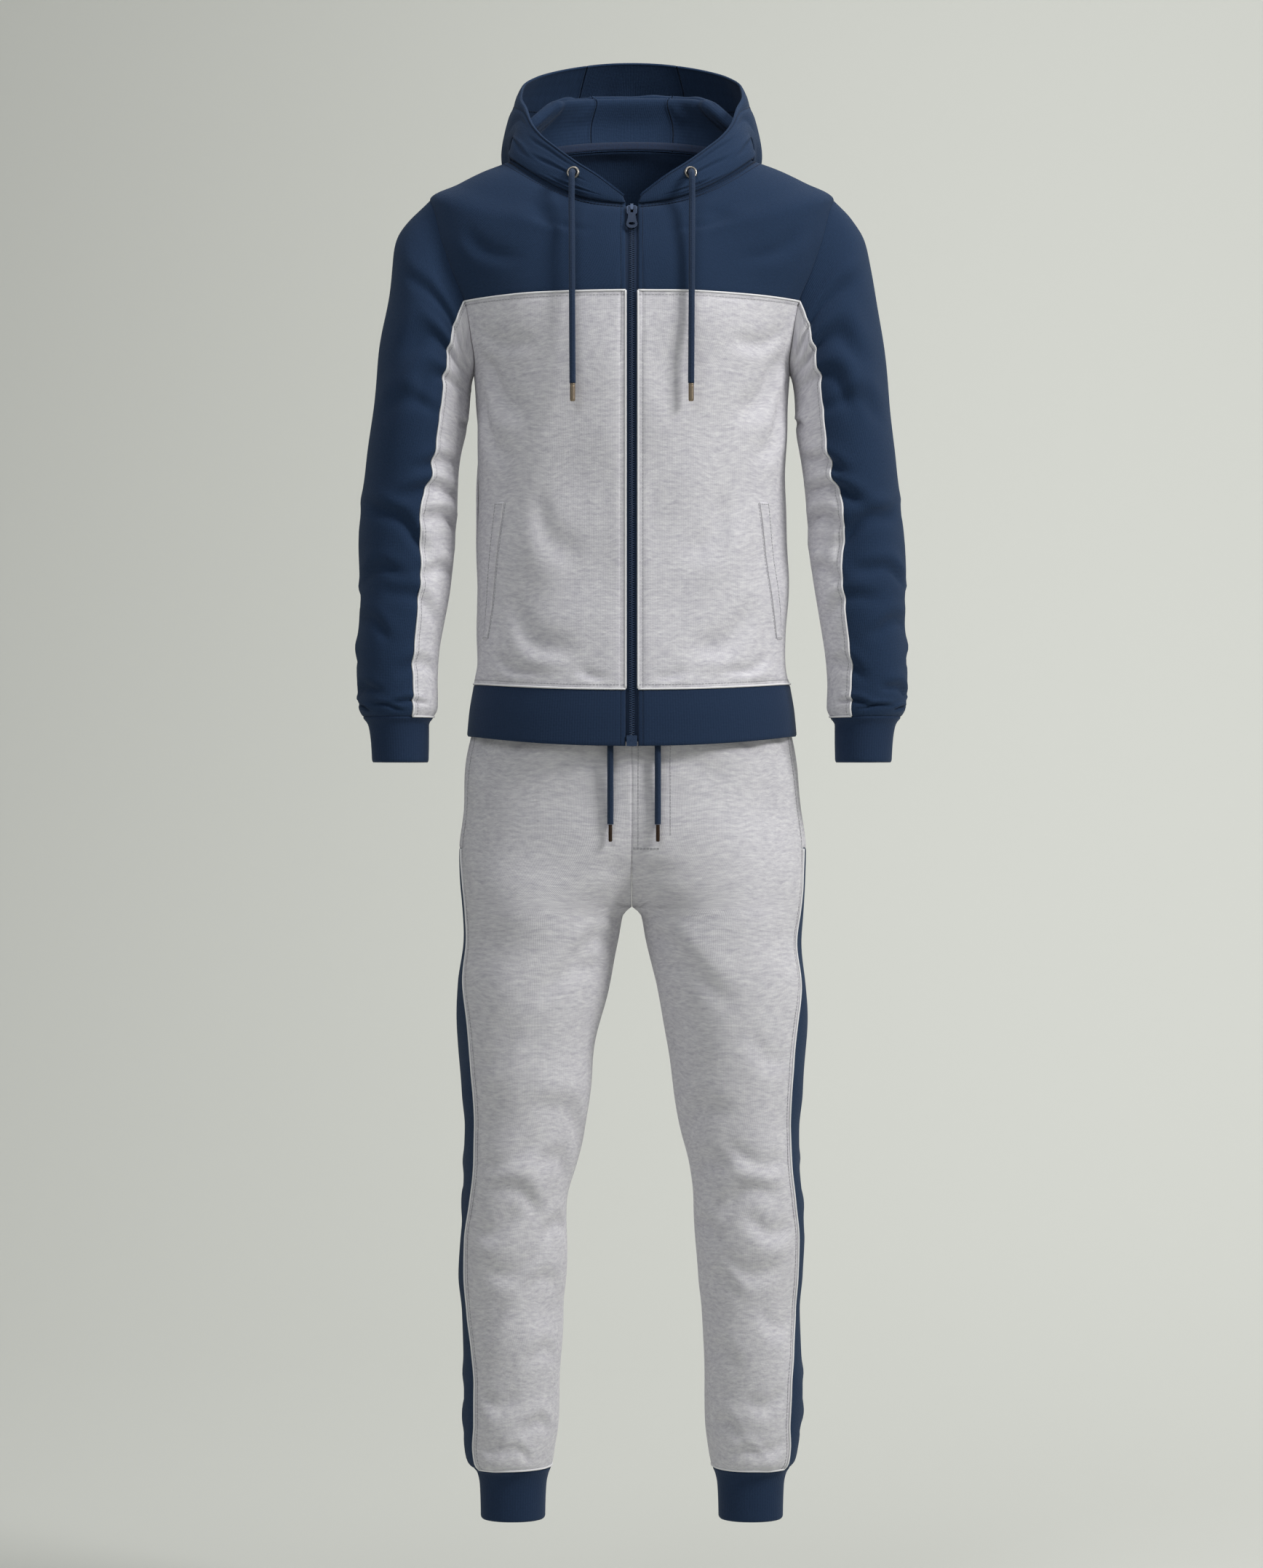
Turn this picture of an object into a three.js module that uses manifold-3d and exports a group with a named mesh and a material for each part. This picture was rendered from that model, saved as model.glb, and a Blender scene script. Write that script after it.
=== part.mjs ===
// A hooded zip jacket over joggers, filled out as worn, hollow, in millimetres.
// +X is the right of the front view, +Y the back, +Z up. The origin lies midway between the
// shoulders, at the height of the neck's base, where a wearer carries the jacket.
import * as THREE from 'three';
import { mergeVertices } from 'three/addons/utils/BufferGeometryUtils.js';
import Module from 'manifold-3d';

const wasm = await Module();
wasm.setup();

// Cloth
const clothWall = 2.2;
const ribWall = 3.2;
const hoodWall = 2.6;
const seamGap = 0.4;
const lift = 0.5; // from a panel to what is sewn on it

// Zip
const zipHalf = 7; // half the opening between the two fronts
const chainHalf = 3;
const tapeWall = 0.9;
const tapeUnder = 12; // how far a tape reaches from the centre
const pullLength = 29;

// Cords
const cordRadius = 3.5;
const hoodTipRadius = 3.1;
const hoodTipLength = 20;
const waistTipRadius = 2.2;
const waistTipLength = 19;
const cordSides = 10;
const eyeletOuter = 7.5;
const eyeletHole = 4.1;
const eyeletThick = 1.5;

// Steps of the panels' grids
const neckFrontSteps = 7;
const neckBackSteps = 15;
const shoulderSteps = 3;
const frontSteps = neckFrontSteps + shoulderSteps;
const backSteps = neckBackSteps + 2 * shoulderSteps;
const yokeRows = 6;
const armholeRows = 4;
const sleeveOuterSteps = 2 * yokeRows;
const sleeveUnderSteps = 2 * armholeRows;
const cuffSteps = 20;
const legFrontSteps = 7;
const stripeSteps = 3;

const degrees = Math.PI / 180;
const quarter = Math.PI / 2;

const lerp = (a, b, f) => a + (b - a) * f;
const clamp = (v, low, high) => Math.min(Math.max(v, low), high);
const ease = (f) => clamp(f, 0, 1) ** 2 * (3 - 2 * clamp(f, 0, 1));
const power = (v, exponent) => Math.sign(v) * Math.abs(v) ** exponent;
const steps = (count, at) => Array.from({ length: count + 1 }, (_, k) => at(k / count));
const vec = (x, y, z) => new THREE.Vector3(x, y, z);

// A table's rows as objects, by the names of its columns
const tableOf = (columns, rows) =>
  rows.map((row) => Object.fromEntries(columns.map((name, i) => [name, row[i]])));

// The smooth line through one column of a table, which never passes its neighbours' values
function read(table, key, column, at) {
  const rising = table[1][key] > table[0][key] ? 1 : -1;
  let k = 0;
  while (k < table.length - 2 && (at - table[k + 1][key]) * rising > 0) k += 1;
  const step = (i) => table[i + 1][key] - table[i][key];
  const grade = (i) => (table[i + 1][column] - table[i][column]) / step(i);
  const slope = (i) => {
    if (i === 0) return grade(0);
    if (i === table.length - 1) return grade(i - 1);
    const [a, b] = [grade(i - 1), grade(i)];
    return a * b > 0 ? (2 * a * b) / (a + b) : 0;
  };
  const wide = step(k);
  const f = (at - table[k][key]) / wide;
  if (f <= 0) return table[k][column] + slope(k) * f * wide;
  if (f >= 1) return table[k + 1][column] + slope(k + 1) * (f - 1) * wide;
  const turn = f * f * (3 - 2 * f);
  return (
    lerp(table[k][column], table[k + 1][column], turn) +
    wide * (slope(k) * f * (1 - f) ** 2 - slope(k + 1) * f * f * (1 - f))
  );
}

// Torso: loops from the hem to the neck. A loop's height differs at the front, side and back.
const roundness = 2 / 2.2;
const torsoCentreY = 5;
const hemLevel = 0;
const bandLevel = 2;
const underarmLevel = 8;
const yokeLevel = 10;
const shoulderLevel = 13;
const neckLevel = 16;
const torso = tableOf(
  ['level', 'frontZ', 'sideZ', 'backZ', 'half', 'front', 'back'],
  [
    [0, -661, -649, -655, 188.3, 129, 121],
    [1, -629, -620, -624, 185.5, 128, 120],
    [2, -598, -590, -594, 180.5, 125, 117],
    [3, -566, -560, -562, 176.8, 123, 115],
    [4, -500, -500, -500, 178, 119, 111],
    [5, -430, -430, -430, 177, 117, 109],
    [6, -360, -360, -360, 176.5, 118, 110],
    [7, -298, -298, -298, 177.5, 121, 113],
    [8, -240, -236, -238, 180.5, 123, 115],
    [9, -196, -200, -198, 194, 122, 115],
    [10, -152, -159, -155, 208, 118, 112],
    [11, -126, -118, -112, 225, 112, 106],
    [12, -104, -78, -70, 232, 105, 98],
    [13, -86, -38, -30, 231, 98, 88],
    [14, -72, -19, -8, 199, 92, 80],
    [15, -60, -3, 12, 167, 86, 73],
    [16, -51, 8, 28, 137, 78, 64],
  ],
);

// A point of the torso: angle 0 at the centre front, a quarter turn at the right side
function torsoPoint(angle, level) {
  const across = Math.sin(angle);
  const along = Math.cos(angle);
  const at = (column) => read(torso, 'level', column, level);
  const depth = along > 0 ? at('front') : at('back');
  const end = along > 0 ? at('frontZ') : at('backZ');
  return vec(
    at('half') * power(across, roundness),
    torsoCentreY - depth * power(along, roundness),
    lerp(end, at('sideZ'), across * across),
  );
}

// The angle at which a loop of the torso is a given distance from the centre front
const angleAcross = (distance, level) =>
  Math.asin((distance / read(torso, 'level', 'half', level)) ** (1 / roundness));

// The right armhole on the torso: turn 0 at the shoulder, a quarter turn at the front
const armholeReach = 26 * degrees;
function armhole(turn) {
  const middle = (underarmLevel + shoulderLevel) / 2;
  const half = (shoulderLevel - underarmLevel) / 2;
  const reach = armholeReach * power(Math.sin(turn), 0.9);
  return [quarter - reach, middle + half * Math.cos(turn)];
}
const yokeTurn = Math.acos(
  (2 * yokeLevel - underarmLevel - shoulderLevel) / (shoulderLevel - underarmLevel),
);

// Sleeve: rings hung between the sleeve's outer and inner outline, from the armhole to the cuff
const sleeveCuffRow = 16;
const sleeve = tableOf(
  ['row', 'outX', 'outZ', 'inX', 'inZ', 'depth', 'centreY', 'seam'],
  [
    [0, 231, -38, 180.5, -236, 58, 8, 101.5],
    [1, 252, -60, 181.5, -240, 62, 8, 106],
    [2, 266, -84, 183, -246, 66, 8, 111],
    [3, 273, -118, 184.5, -254, 70, 8, 115],
    [4, 280.5, -162, 186, -266, 72, 7, 118],
    [5, 287.5, -208, 187.5, -282, 73, 5, 119],
    [6, 293.5, -255, 189.5, -303, 73, 3, 119],
    [7, 298.5, -307, 194, -332, 71, 1, 119],
    [8, 303, -345, 197, -362, 68, -1, 117],
    [9, 309, -390, 199.5, -396, 64, -4, 107],
    [10, 311, -440, 202.5, -440, 60, -8, 112],
    [11, 311, -480, 207.5, -478, 57, -13, 115],
    [12, 311, -520, 214, -518, 54, -18, 116],
    [13, 313, -560, 219, -558, 51, -23, 117],
    [14, 311.5, -597, 222, -596, 48, -27, 118],
    [15, 310, -616, 222, -616, 46, -29, 117],
    [16, 305, -627, 226, -627, 42, -30, 117],
    [17, 299, -637, 230, -637, 37, -31, 114],
    [18, 296, -655, 230, -655, 35.5, -31, 114],
    [19, 294.5, -679, 230.5, -679, 35, -31, 114],
  ],
);
const armholeFade = 5; // rows over which the armhole's own outline fades into the rings

function sleeveRing(turn, row) {
  const at = (column) => read(sleeve, 'row', column, row);
  const outer = vec(at('outX'), 0, at('outZ'));
  const inner = vec(at('inX'), 0, at('inZ'));
  const arm = outer.clone().sub(inner).multiplyScalar(0.5);
  const centre = outer.clone().add(inner).multiplyScalar(0.5);
  centre.y = at('centreY') - at('depth') * Math.sin(turn);
  return centre.addScaledVector(arm, Math.cos(turn));
}

// A point of the right sleeve: turn 0 at the outer side, a quarter turn at the front
function sleevePoint(turn, row) {
  const point = sleeveRing(turn, row);
  const own = torsoPoint(...armhole(turn)).sub(sleeveRing(turn, 0));
  return point.addScaledVector(own, 1 - ease(row / armholeFade));
}

// Leg: loops from the waist down. Above the crotch both legs' loops are cut at the centre.
const hipZ = -700;
const crotchZ = -842;
const waistZ = -614;
const waistTopZ = -573;
const ankleSeamZ = -1482;
const legRoundness = 0.93;
const leg = tableOf(
  ['z', 'outer', 'inner', 'front', 'back', 'centreY', 'stripe'],
  [
    [-573, 160, 0, 103, 98, 3, 12],
    [-614, 170, 0, 108, 104, 3, 12],
    [-650, 182.5, 0, 111, 110, 3, 11],
    [-690, 189.5, 0, 110, 115, 3, 10],
    [-730, 193, 0, 108, 119, 3, 10],
    [-776, 197.5, 0, 106, 122, 3, 11],
    [-812, 196.5, 0, 105, 122, 3, 15],
    [-842, 194.5, 0, 103, 121, 3, 18],
    [-852, 193.8, 10, 103, 120, 3, 19],
    [-880, 192.5, 15, 102, 118, 3, 22],
    [-930, 197.5, 25.7, 99, 112, 2, 26],
    [-971, 198.8, 34.5, 95, 106, 2, 33],
    [-1012, 198, 43, 91, 100, 1, 38],
    [-1054, 195.5, 48.5, 87, 94, 0, 40],
    [-1096, 190.5, 55.6, 83, 89, 0, 37],
    [-1137, 192, 65, 80, 85, 1, 39],
    [-1179, 194.6, 72.3, 77, 81, 2, 36],
    [-1220, 196.3, 74, 75, 78, 2, 31],
    [-1262, 196, 74.5, 72, 76, 3, 31],
    [-1303, 193, 78.8, 69, 73, 4, 29],
    [-1345, 193.8, 80.9, 66, 70, 5, 37],
    [-1386, 195, 81.8, 63, 67, 6, 45],
    [-1428, 193.4, 84.2, 61, 64, 7, 45],
    [-1461, 189.6, 88, 58, 61, 8, 40],
    [-1474, 187, 89.8, 56, 59, 8, 40],
    [-1482, 181.3, 91.7, 51, 53, 8, 40],
    [-1490, 176.4, 95, 45, 47, 8, 40],
    [-1502, 173.9, 97.5, 42, 43, 8, 40],
    [-1522, 173, 98.6, 41, 42, 8, 40],
    [-1541, 172.6, 99, 40, 41, 8, 40],
  ],
);
const stripeBack = -34 * degrees;
const facingZ = -776; // the foot of the hip facing and the top of the stripe

// How far a loop's centre has moved out from the middle, as a part of its half width
const cut = (z) => (z < crotchZ ? 1 : clamp((hipZ - z) / (hipZ - crotchZ), 0, 1) ** 1.8);

// The turn at which a leg's loop reaches the centre seam or the inseam
const legEnd = (z) => Math.acos(-(cut(z) ** (1 / legRoundness)));

// A point of the right leg: turn 0 at the outer side, a quarter turn or more at the front
function legPoint(turn, drop) {
  const z = -drop;
  const at = (column) => read(leg, 'z', column, z);
  const outer = at('outer');
  const inner = z < crotchZ ? at('inner') : 0;
  const share = cut(z) / (1 + cut(z));
  const centre = z < crotchZ ? (outer + inner) / 2 : outer * share;
  const side = Math.sin(turn);
  const depth = side > 0 ? at('front') : at('back');
  return vec(
    centre + (outer - centre) * power(Math.cos(turn), legRoundness),
    at('centreY') - depth * power(side, legRoundness),
    z,
  );
}

// Hood: its free edge, round from the zip to the centre back
const hoodAxisY = 5;
const hoodSeamStep = 6; // the side piece ends this many steps behind the shoulder
const hoodRim = tableOf(
  ['turn', 'x', 'y', 'z'],
  [
    [0, 5, -75, -46],
    [15, 38, -73, -19],
    [30, 64, -66, -1],
    [45, 86, -52, 17],
    [60, 103, -36, 33],
    [75, 114, -16, 50],
    [90, 120, 8, 69],
    [105, 128, 38, 89],
    [120, 126, 64, 105],
    [135, 112, 88, 118],
    [150, 83, 107, 129],
    [165, 44.5, 118, 137],
    [180, 0, 122, 141],
  ],
);

// Where the hood, worn down, folds over behind the neck: its crest and the foot of its pouch
const hoodFold = tableOf(
  ['turn', 'fold', 'crestX', 'crestY', 'crestZ', 'pouchX', 'pouchY', 'pouchZ', 'swell'],
  [
    [60, 0, 110, -20, 40, 126, -26, 22, 3],
    [75, 0.35, 107, -6, 50, 138, -6, 15, 4],
    [90, 0.75, 103, 14, 61, 143, 24, 16, 6],
    [105, 1, 99, 34, 71, 141, 54, 9, 10],
    [120, 1, 92, 50, 79, 132, 90, -22, 22],
    [140, 1, 75, 63, 85, 104, 114, -76, 34],
    [160, 1, 48, 77, 88, 56, 128, -112, 42],
    [180, 1, 0, 84, 89, 0, 133, -122, 46],
  ],
);

// The hood's section at one turn: from the neck seam over the crest and pouch to the free edge
function hoodSection(turn) {
  const half = Math.acos(Math.cos(turn)) / degrees;
  const side = Math.sin(turn) < 0 ? -1 : 1;
  const at = (table, column) => read(table, 'turn', column, half);
  const place = (table, name) => vec(
    side * at(table, name ? `${name}X` : 'x'),
    at(table, name ? `${name}Y` : 'y'),
    at(table, name ? `${name}Z` : 'z'),
  );
  const neck = torsoPoint(turn, neckLevel);
  const rim = place(hoodRim, '');
  const crest = place(hoodFold, 'crest');
  const pouch = place(hoodFold, 'pouch');
  const fold = half < hoodFold[0].turn ? 0 : at(hoodFold, 'fold');
  const swell = at(hoodFold, 'swell');
  const outward = vec(neck.x, neck.y - hoodAxisY, 0).normalize();
  const tall = rim.distanceTo(neck);
  const mix = (a, b, f, out, up) =>
    a.clone().lerp(b, f).addScaledVector(outward, out).add(vec(0, 0, up));
  const folded = [
    neck,
    mix(neck, crest, 0.5, 3, 0),
    mix(crest, crest, 0, -5, -5),
    crest,
    mix(crest, crest, 0, 7, -6),
    mix(crest, pouch, 0.5, 0, 0),
    mix(pouch, pouch, 0, -8, 8),
    pouch,
    mix(pouch, pouch, 0, 10, 7),
    mix(pouch, rim, 0.33, swell, 0),
    mix(pouch, rim, 0.68, swell * 0.75, 0),
    rim,
  ];
  return folded.map((point, i) => {
    const f = i / (folded.length - 1);
    const bulge = 0.16 * tall * Math.sin(Math.PI * f ** 0.5);
    return mix(neck, rim, f, bulge, 0).lerp(point, fold);
  });
}

const hoodSections = new Map();
function hoodPoint(turn, along) {
  if (!hoodSections.has(turn)) hoodSections.set(turn, hoodSection(turn));
  const points = hoodSections.get(turn);
  const last = points.length - 1;
  const k = clamp(Math.floor(along), 0, last - 1);
  const f = along - k;
  const before = points[Math.max(k - 1, 0)];
  const after = points[Math.min(k + 2, last)];
  const curve = (axis) => {
    const [a, b, c, d] = [before[axis], points[k][axis], points[k + 1][axis], after[axis]];
    const bend = 2 * a - 5 * b + 4 * c - d;
    return 0.5 * (2 * b + (c - a) * f + bend * f * f + (3 * b - a - 3 * c + d) * f ** 3);
  };
  return vec(curve('x'), curve('y'), curve('z'));
}

// The way a surface faces, from small steps to either side
function facing(surface, [a, b]) {
  const small = 0.004;
  const across = surface(a + small, b).sub(surface(a - small, b));
  const along = surface(a, b + small).sub(surface(a, b - small));
  return across.cross(along).normalize();
}

// Fills a four-sided patch with (a, b) places between its border lines
function patch({ bottom, top, left, right }) {
  const wide = bottom.length - 1;
  const tall = left.length - 1;
  return left.map((_, j) => bottom.map((__, i) => {
    const u = i / wide;
    const v = j / tall;
    return [0, 1].map((axis) =>
      lerp(bottom[i][axis], top[i][axis], v) + lerp(left[j][axis], right[j][axis], u) -
      lerp(
        lerp(bottom[0][axis], bottom[wide][axis], u),
        lerp(top[0][axis], top[wide][axis], u),
        v,
      ));
  }));
}

// A closed solid between two grids of points; its own volume says which way it faces
function solidBetween(outer, inner, closed) {
  const rows = outer.length;
  const columns = outer[0].length;
  const points = [...outer.flat(), ...inner.flat()];
  const out = (j, i) => j * columns + (i % columns);
  const inn = (j, i) => rows * columns + out(j, i);
  const faces = [];
  const quad = (a, b, c, d) => {
    const shorter = points[a].distanceTo(points[c]) <= points[b].distanceTo(points[d]);
    faces.push(...(shorter ? [a, b, c, a, c, d] : [a, b, d, b, c, d]));
  };
  const cells = closed ? columns : columns - 1;
  for (let j = 0; j < rows - 1; j += 1) {
    for (let i = 0; i < cells; i += 1) {
      quad(out(j, i), out(j, i + 1), out(j + 1, i + 1), out(j + 1, i));
      quad(inn(j, i), inn(j + 1, i), inn(j + 1, i + 1), inn(j, i + 1));
    }
  }
  for (let i = 0; i < cells; i += 1) {
    quad(out(0, i + 1), out(0, i), inn(0, i), inn(0, i + 1));
    quad(out(rows - 1, i), out(rows - 1, i + 1), inn(rows - 1, i + 1), inn(rows - 1, i));
  }
  for (let j = 0; j < rows - 1 && !closed; j += 1) {
    quad(out(j, 0), out(j + 1, 0), inn(j + 1, 0), inn(j, 0));
    quad(out(j + 1, cells), out(j, cells), inn(j, cells), inn(j + 1, cells));
  }
  const volume = faces.reduce((sum, _, k) => (k % 3 ? sum
    : sum + points[faces[k]].dot(points[faces[k + 1]].clone().cross(points[faces[k + 2]]))), 0);
  if (volume < 0) faces.reverse();
  const geometry = new THREE.BufferGeometry().setFromPoints(points);
  geometry.setIndex(faces);
  return geometry;
}

// Draws a grid's borders back by half a seam's gap
function drawnBack(grid, closed) {
  const last = grid.length - 1;
  const end = grid[0].length - 1;
  const toward = (from, to) => to.clone().sub(from).setLength(seamGap / 2);
  return grid.map((row, j) => row.map((point, i) => {
    const moved = point.clone();
    if (j === 0) moved.add(toward(point, grid[1][i]));
    if (j === last) moved.add(toward(point, grid[last - 1][i]));
    if (i === 0 && !closed) moved.add(toward(point, row[1]));
    if (i === end && !closed) moved.add(toward(point, row[end - 1]));
    return moved;
  }));
}

const mirrored = (point, side) => vec(point.x * side, point.y, point.z);

// A wall of cloth over places of a surface; side -1 is its mirror image
function clothOver(surface, places, wall, { side = 1, closed = false, clear = 0 } = {}) {
  const keep = (point) => vec(clear ? Math.max(point.x, clear) : point.x, point.y, point.z);
  const outer = drawnBack(places.map((row) => row.map((place) => surface(...place))), closed);
  const inner = outer.map((row, j) => row.map((point, i) =>
    point.clone().addScaledVector(facing(surface, places[j][i]), -wall)));
  const placed = (grid) => grid.map((row) => row.map((point) => mirrored(keep(point), side)));
  return solidBetween(placed(outer), placed(inner), closed);
}

// Materials
const colourOf = {
  navy: 0x26364e,
  grey: 0xb9b8bd,
  tape: 0x8a7478,
  steel: 0x8f8d88,
  brass: 0x9c8350,
  dark: 0x3a3029,
};
function material(colour, roughness, metalness) {
  return new THREE.MeshStandardMaterial({ color: colourOf[colour], roughness, metalness });
}
const navyCloth = material('navy', 0.9, 0);
const greyCloth = material('grey', 0.95, 0);
const rib = material('navy', 0.95, 0);
const tape = material('tape', 0.9, 0);
const zipPlastic = material('navy', 0.45, 0);
const steel = material('steel', 0.35, 1);
const brass = material('brass', 0.35, 1);
const darkMetal = material('dark', 0.4, 0.8);

const tracksuit = new THREE.Group();
function add(name, geometry, finish) {
  const mesh = new THREE.Mesh(geometry, finish);
  mesh.name = name;
  tracksuit.add(mesh);
}
const sides = [['left', -1], ['right', 1]];

// Jacket body. Each front is patched for the right side and mirrored for the left.
const zipLine = (levels) => levels.map((level) => [angleAcross(zipHalf, level), level]);
const yokeEnd = armhole(yokeTurn)[0];
const yokeStart = angleAcross(zipHalf, yokeLevel);
const yokeLine = steps(frontSteps, (f) => [lerp(yokeStart, yokeEnd, f), yokeLevel]);
const hemStart = angleAcross(zipHalf, bandLevel);
const hemTop = steps(frontSteps, (f) => [lerp(hemStart, quarter, f), bandLevel]);
const sideLevels = steps(underarmLevel - bandLevel, (f) => lerp(bandLevel, underarmLevel, f));
const lowArmhole = steps(armholeRows, (f) => armhole(lerp(Math.PI, yokeTurn, f))).slice(1);
const frontLevels = [
  ...sideLevels,
  ...steps(armholeRows, (f) => lerp(underarmLevel, yokeLevel, f)).slice(1),
];
const bodyFront = patch({
  bottom: hemTop,
  top: yokeLine,
  left: zipLine(frontLevels),
  right: [...sideLevels.map((level) => [quarter, level]), ...lowArmhole],
});
const shoulderLine = steps(shoulderSteps, (f) => [quarter, lerp(neckLevel, shoulderLevel, f)]);
const neckStart = angleAcross(zipHalf, neckLevel);
const yokeFront = patch({
  bottom: yokeLine,
  top: [
    ...steps(neckFrontSteps, (f) => [lerp(neckStart, quarter, f), neckLevel]),
    ...shoulderLine.slice(1),
  ],
  left: zipLine(steps(yokeRows, (f) => lerp(yokeLevel, neckLevel, f))),
  right: steps(yokeRows, (f) => armhole(lerp(yokeTurn, 0, f))),
});
for (const [name, side] of sides) {
  add(`body_front_${name}`, clothOver(torsoPoint, bodyFront, clothWall, { side }), greyCloth);
  add(`yoke_front_${name}`, clothOver(torsoPoint, yokeFront, clothWall, { side }), navyCloth);
}

// The back pieces run from the right side round to the left
const fullTurn = 2 * Math.PI;
const opposite = (places) => places.map(([angle, level]) => [fullTurn - angle, level]);
const highArmhole = steps(yokeRows, (f) => armhole(lerp(fullTurn - yokeTurn, fullTurn, f)));
const backYokeLine = steps(backSteps, (f) =>
  [lerp(highArmhole[0][0], fullTurn - highArmhole[0][0], f), yokeLevel]);
const rightBack = [
  ...sideLevels.map((level) => [quarter, level]),
  ...steps(armholeRows, (f) => armhole(lerp(Math.PI, fullTurn - yokeTurn, f))).slice(1),
];
const bodyBack = patch({
  bottom: steps(backSteps, (f) => [lerp(quarter, fullTurn - quarter, f), bandLevel]),
  top: backYokeLine,
  left: rightBack,
  right: opposite(rightBack),
});
const shoulderUp = [...shoulderLine].reverse();
const neckBack = steps(neckBackSteps, (f) => lerp(quarter, fullTurn - quarter, f));
const yokeBack = patch({
  bottom: backYokeLine,
  top: [
    ...shoulderUp,
    ...neckBack.slice(1, -1).map((turn) => [turn, neckLevel]),
    ...opposite(shoulderLine),
  ],
  left: highArmhole,
  right: opposite(highArmhole),
});
add('body_back', clothOver(torsoPoint, bodyBack, clothWall), greyCloth);
add('yoke_back', clothOver(torsoPoint, yokeBack, clothWall), navyCloth);

// Hem band: one strip round the body, open at the zip
const bandTop = [
  ...hemTop,
  ...steps(backSteps, (f) => [lerp(quarter, fullTurn - quarter, f), bandLevel]).slice(1, -1),
  ...opposite([...hemTop].reverse()),
];
const bandLevels = steps(2, (f) => lerp(hemLevel, bandLevel, f));
const bandZip = zipLine(bandLevels);
const bandFoot = bandTop.slice(1, -1).map(([angle]) => [angle, hemLevel]);
const hemBand = patch({
  bottom: [bandZip[0], ...bandFoot, opposite(bandZip)[0]],
  top: bandTop,
  left: bandZip,
  right: opposite(bandZip),
});
add('hem_band', clothOver(torsoPoint, hemBand, ribWall), rib);

// Sleeves
const sleeveSeam = (row) => read(sleeve, 'row', 'seam', row) * degrees;
const sleeveRows = steps(sleeveCuffRow, (f) => f * sleeveCuffRow);
const sleeveOuter = sleeveRows.map((row) =>
  steps(sleeveOuterSteps, (f) => [lerp(-sleeveSeam(row), sleeveSeam(row), f), row]));
const sleeveUnder = sleeveRows.map((row) =>
  steps(sleeveUnderSteps, (f) => [lerp(sleeveSeam(row), fullTurn - sleeveSeam(row), f), row]));
const ringAt = (count, b) => steps(count, (f) => [f * fullTurn, b]).slice(0, -1);
const sleeveCuff = [0, 1, 2, 3].map((row) => ringAt(cuffSteps, sleeveCuffRow + row));
for (const [name, side] of sides) {
  add(`sleeve_outer_${name}`, clothOver(sleevePoint, sleeveOuter, clothWall, { side }), navyCloth);
  add(`sleeve_under_${name}`, clothOver(sleevePoint, sleeveUnder, clothWall, { side }), greyCloth);
  add(
    `sleeve_cuff_${name}`,
    clothOver(sleevePoint, sleeveCuff, ribWall, { side, closed: true }),
    rib,
  );
}

// Hood: three pieces side by side, and the tape over the seam inside the back of the neck
const hoodAlong = [0, 0.5, 1.2, 2, 3, 4, 5, 6, 7, 8, 8.6, 9.3, 10.1, 11];
const hoodGrid = (turns) => hoodAlong.map((along) => turns.map((turn) => [turn, along]));
const hoodSideTurns = [
  ...steps(neckFrontSteps, (f) => lerp(neckStart, quarter, f)),
  ...neckBack.slice(1, hoodSeamStep + 1),
];
const hoodCentreTurns = neckBack.slice(hoodSeamStep, neckBack.length - hoodSeamStep);
const hoodSide = hoodGrid(hoodSideTurns);
for (const [name, side] of sides) {
  add(`hood_side_${name}`, clothOver(hoodPoint, hoodSide, hoodWall, { side }), navyCloth);
}
const hoodCentre = hoodGrid(hoodCentreTurns);
add('hood_centre', clothOver(hoodPoint, hoodCentre, hoodWall), navyCloth);

// Places a grid of points under or over a surface, by their depth below it
const sunk = (surface, places, depth) =>
  places.map((row) => row.map((place) =>
    surface(...place).addScaledVector(facing(surface, place), -depth)));
const strip = (surface, places, high, low) =>
  solidBetween(sunk(surface, places, high), sunk(surface, places, low), false);

const tapeTurns = neckBack.slice(hoodSeamStep - 1, neckBack.length - hoodSeamStep + 1);
const neckTapeAlong = [0.05, 0.4];
const neckTapeTop = hoodWall + lift;
const neckTape = neckTapeAlong.map((along) => tapeTurns.map((turn) => [turn, along]));
add('neck_tape', strip(hoodPoint, neckTape, neckTapeTop, neckTapeTop + tapeWall), tape);

// Zip: tapes behind the fronts, the chain between them, box, slider and pull
const zipSteps = 18;
const tapeFootLevel = 0.15;
const tapeHeadLevel = 15.9;
const zipLevels = steps(zipSteps, (f) => lerp(tapeFootLevel, tapeHeadLevel, f));
const zipStrip = (near, far) =>
  zipLevels.map((level) => steps(1, (f) => [angleAcross(lerp(near, far, f), level), level]));
for (const [name, side] of sides) {
  const places = zipStrip(chainHalf + seamGap, tapeUnder);
  const top = ribWall + lift;
  const grid = (depth) => sunk(torsoPoint, places, depth)
    .map((row) => row.map((point) => mirrored(point, side)));
  add(`zip_tape_${name}`, solidBetween(grid(top), grid(top + tapeWall), false), zipPlastic);
}
const chainTop = 1.2;
const chainFootLevel = 0.381;
const chainHeadLevel = 14.5;
const chainPlaces = steps(zipSteps, (f) => lerp(chainFootLevel, chainHeadLevel, f)).map((level) =>
  steps(1, (f) => [angleAcross(chainHalf, level) * lerp(-1, 1, f), level]));
add('zip_chain', strip(torsoPoint, chainPlaces, chainTop, ribWall + lift + tapeWall), zipPlastic);

// A frame on the zip line: x across, -y out of the cloth, z up from a lower level of the line
function zipFrame(level, lower) {
  const origin = torsoPoint(0, level);
  const up = origin.clone().sub(torsoPoint(0, lower)).normalize();
  const across = vec(1, 0, 0);
  return new THREE.Matrix4().makeBasis(across, up.clone().cross(across), up)
    .setPosition(origin);
}

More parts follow.
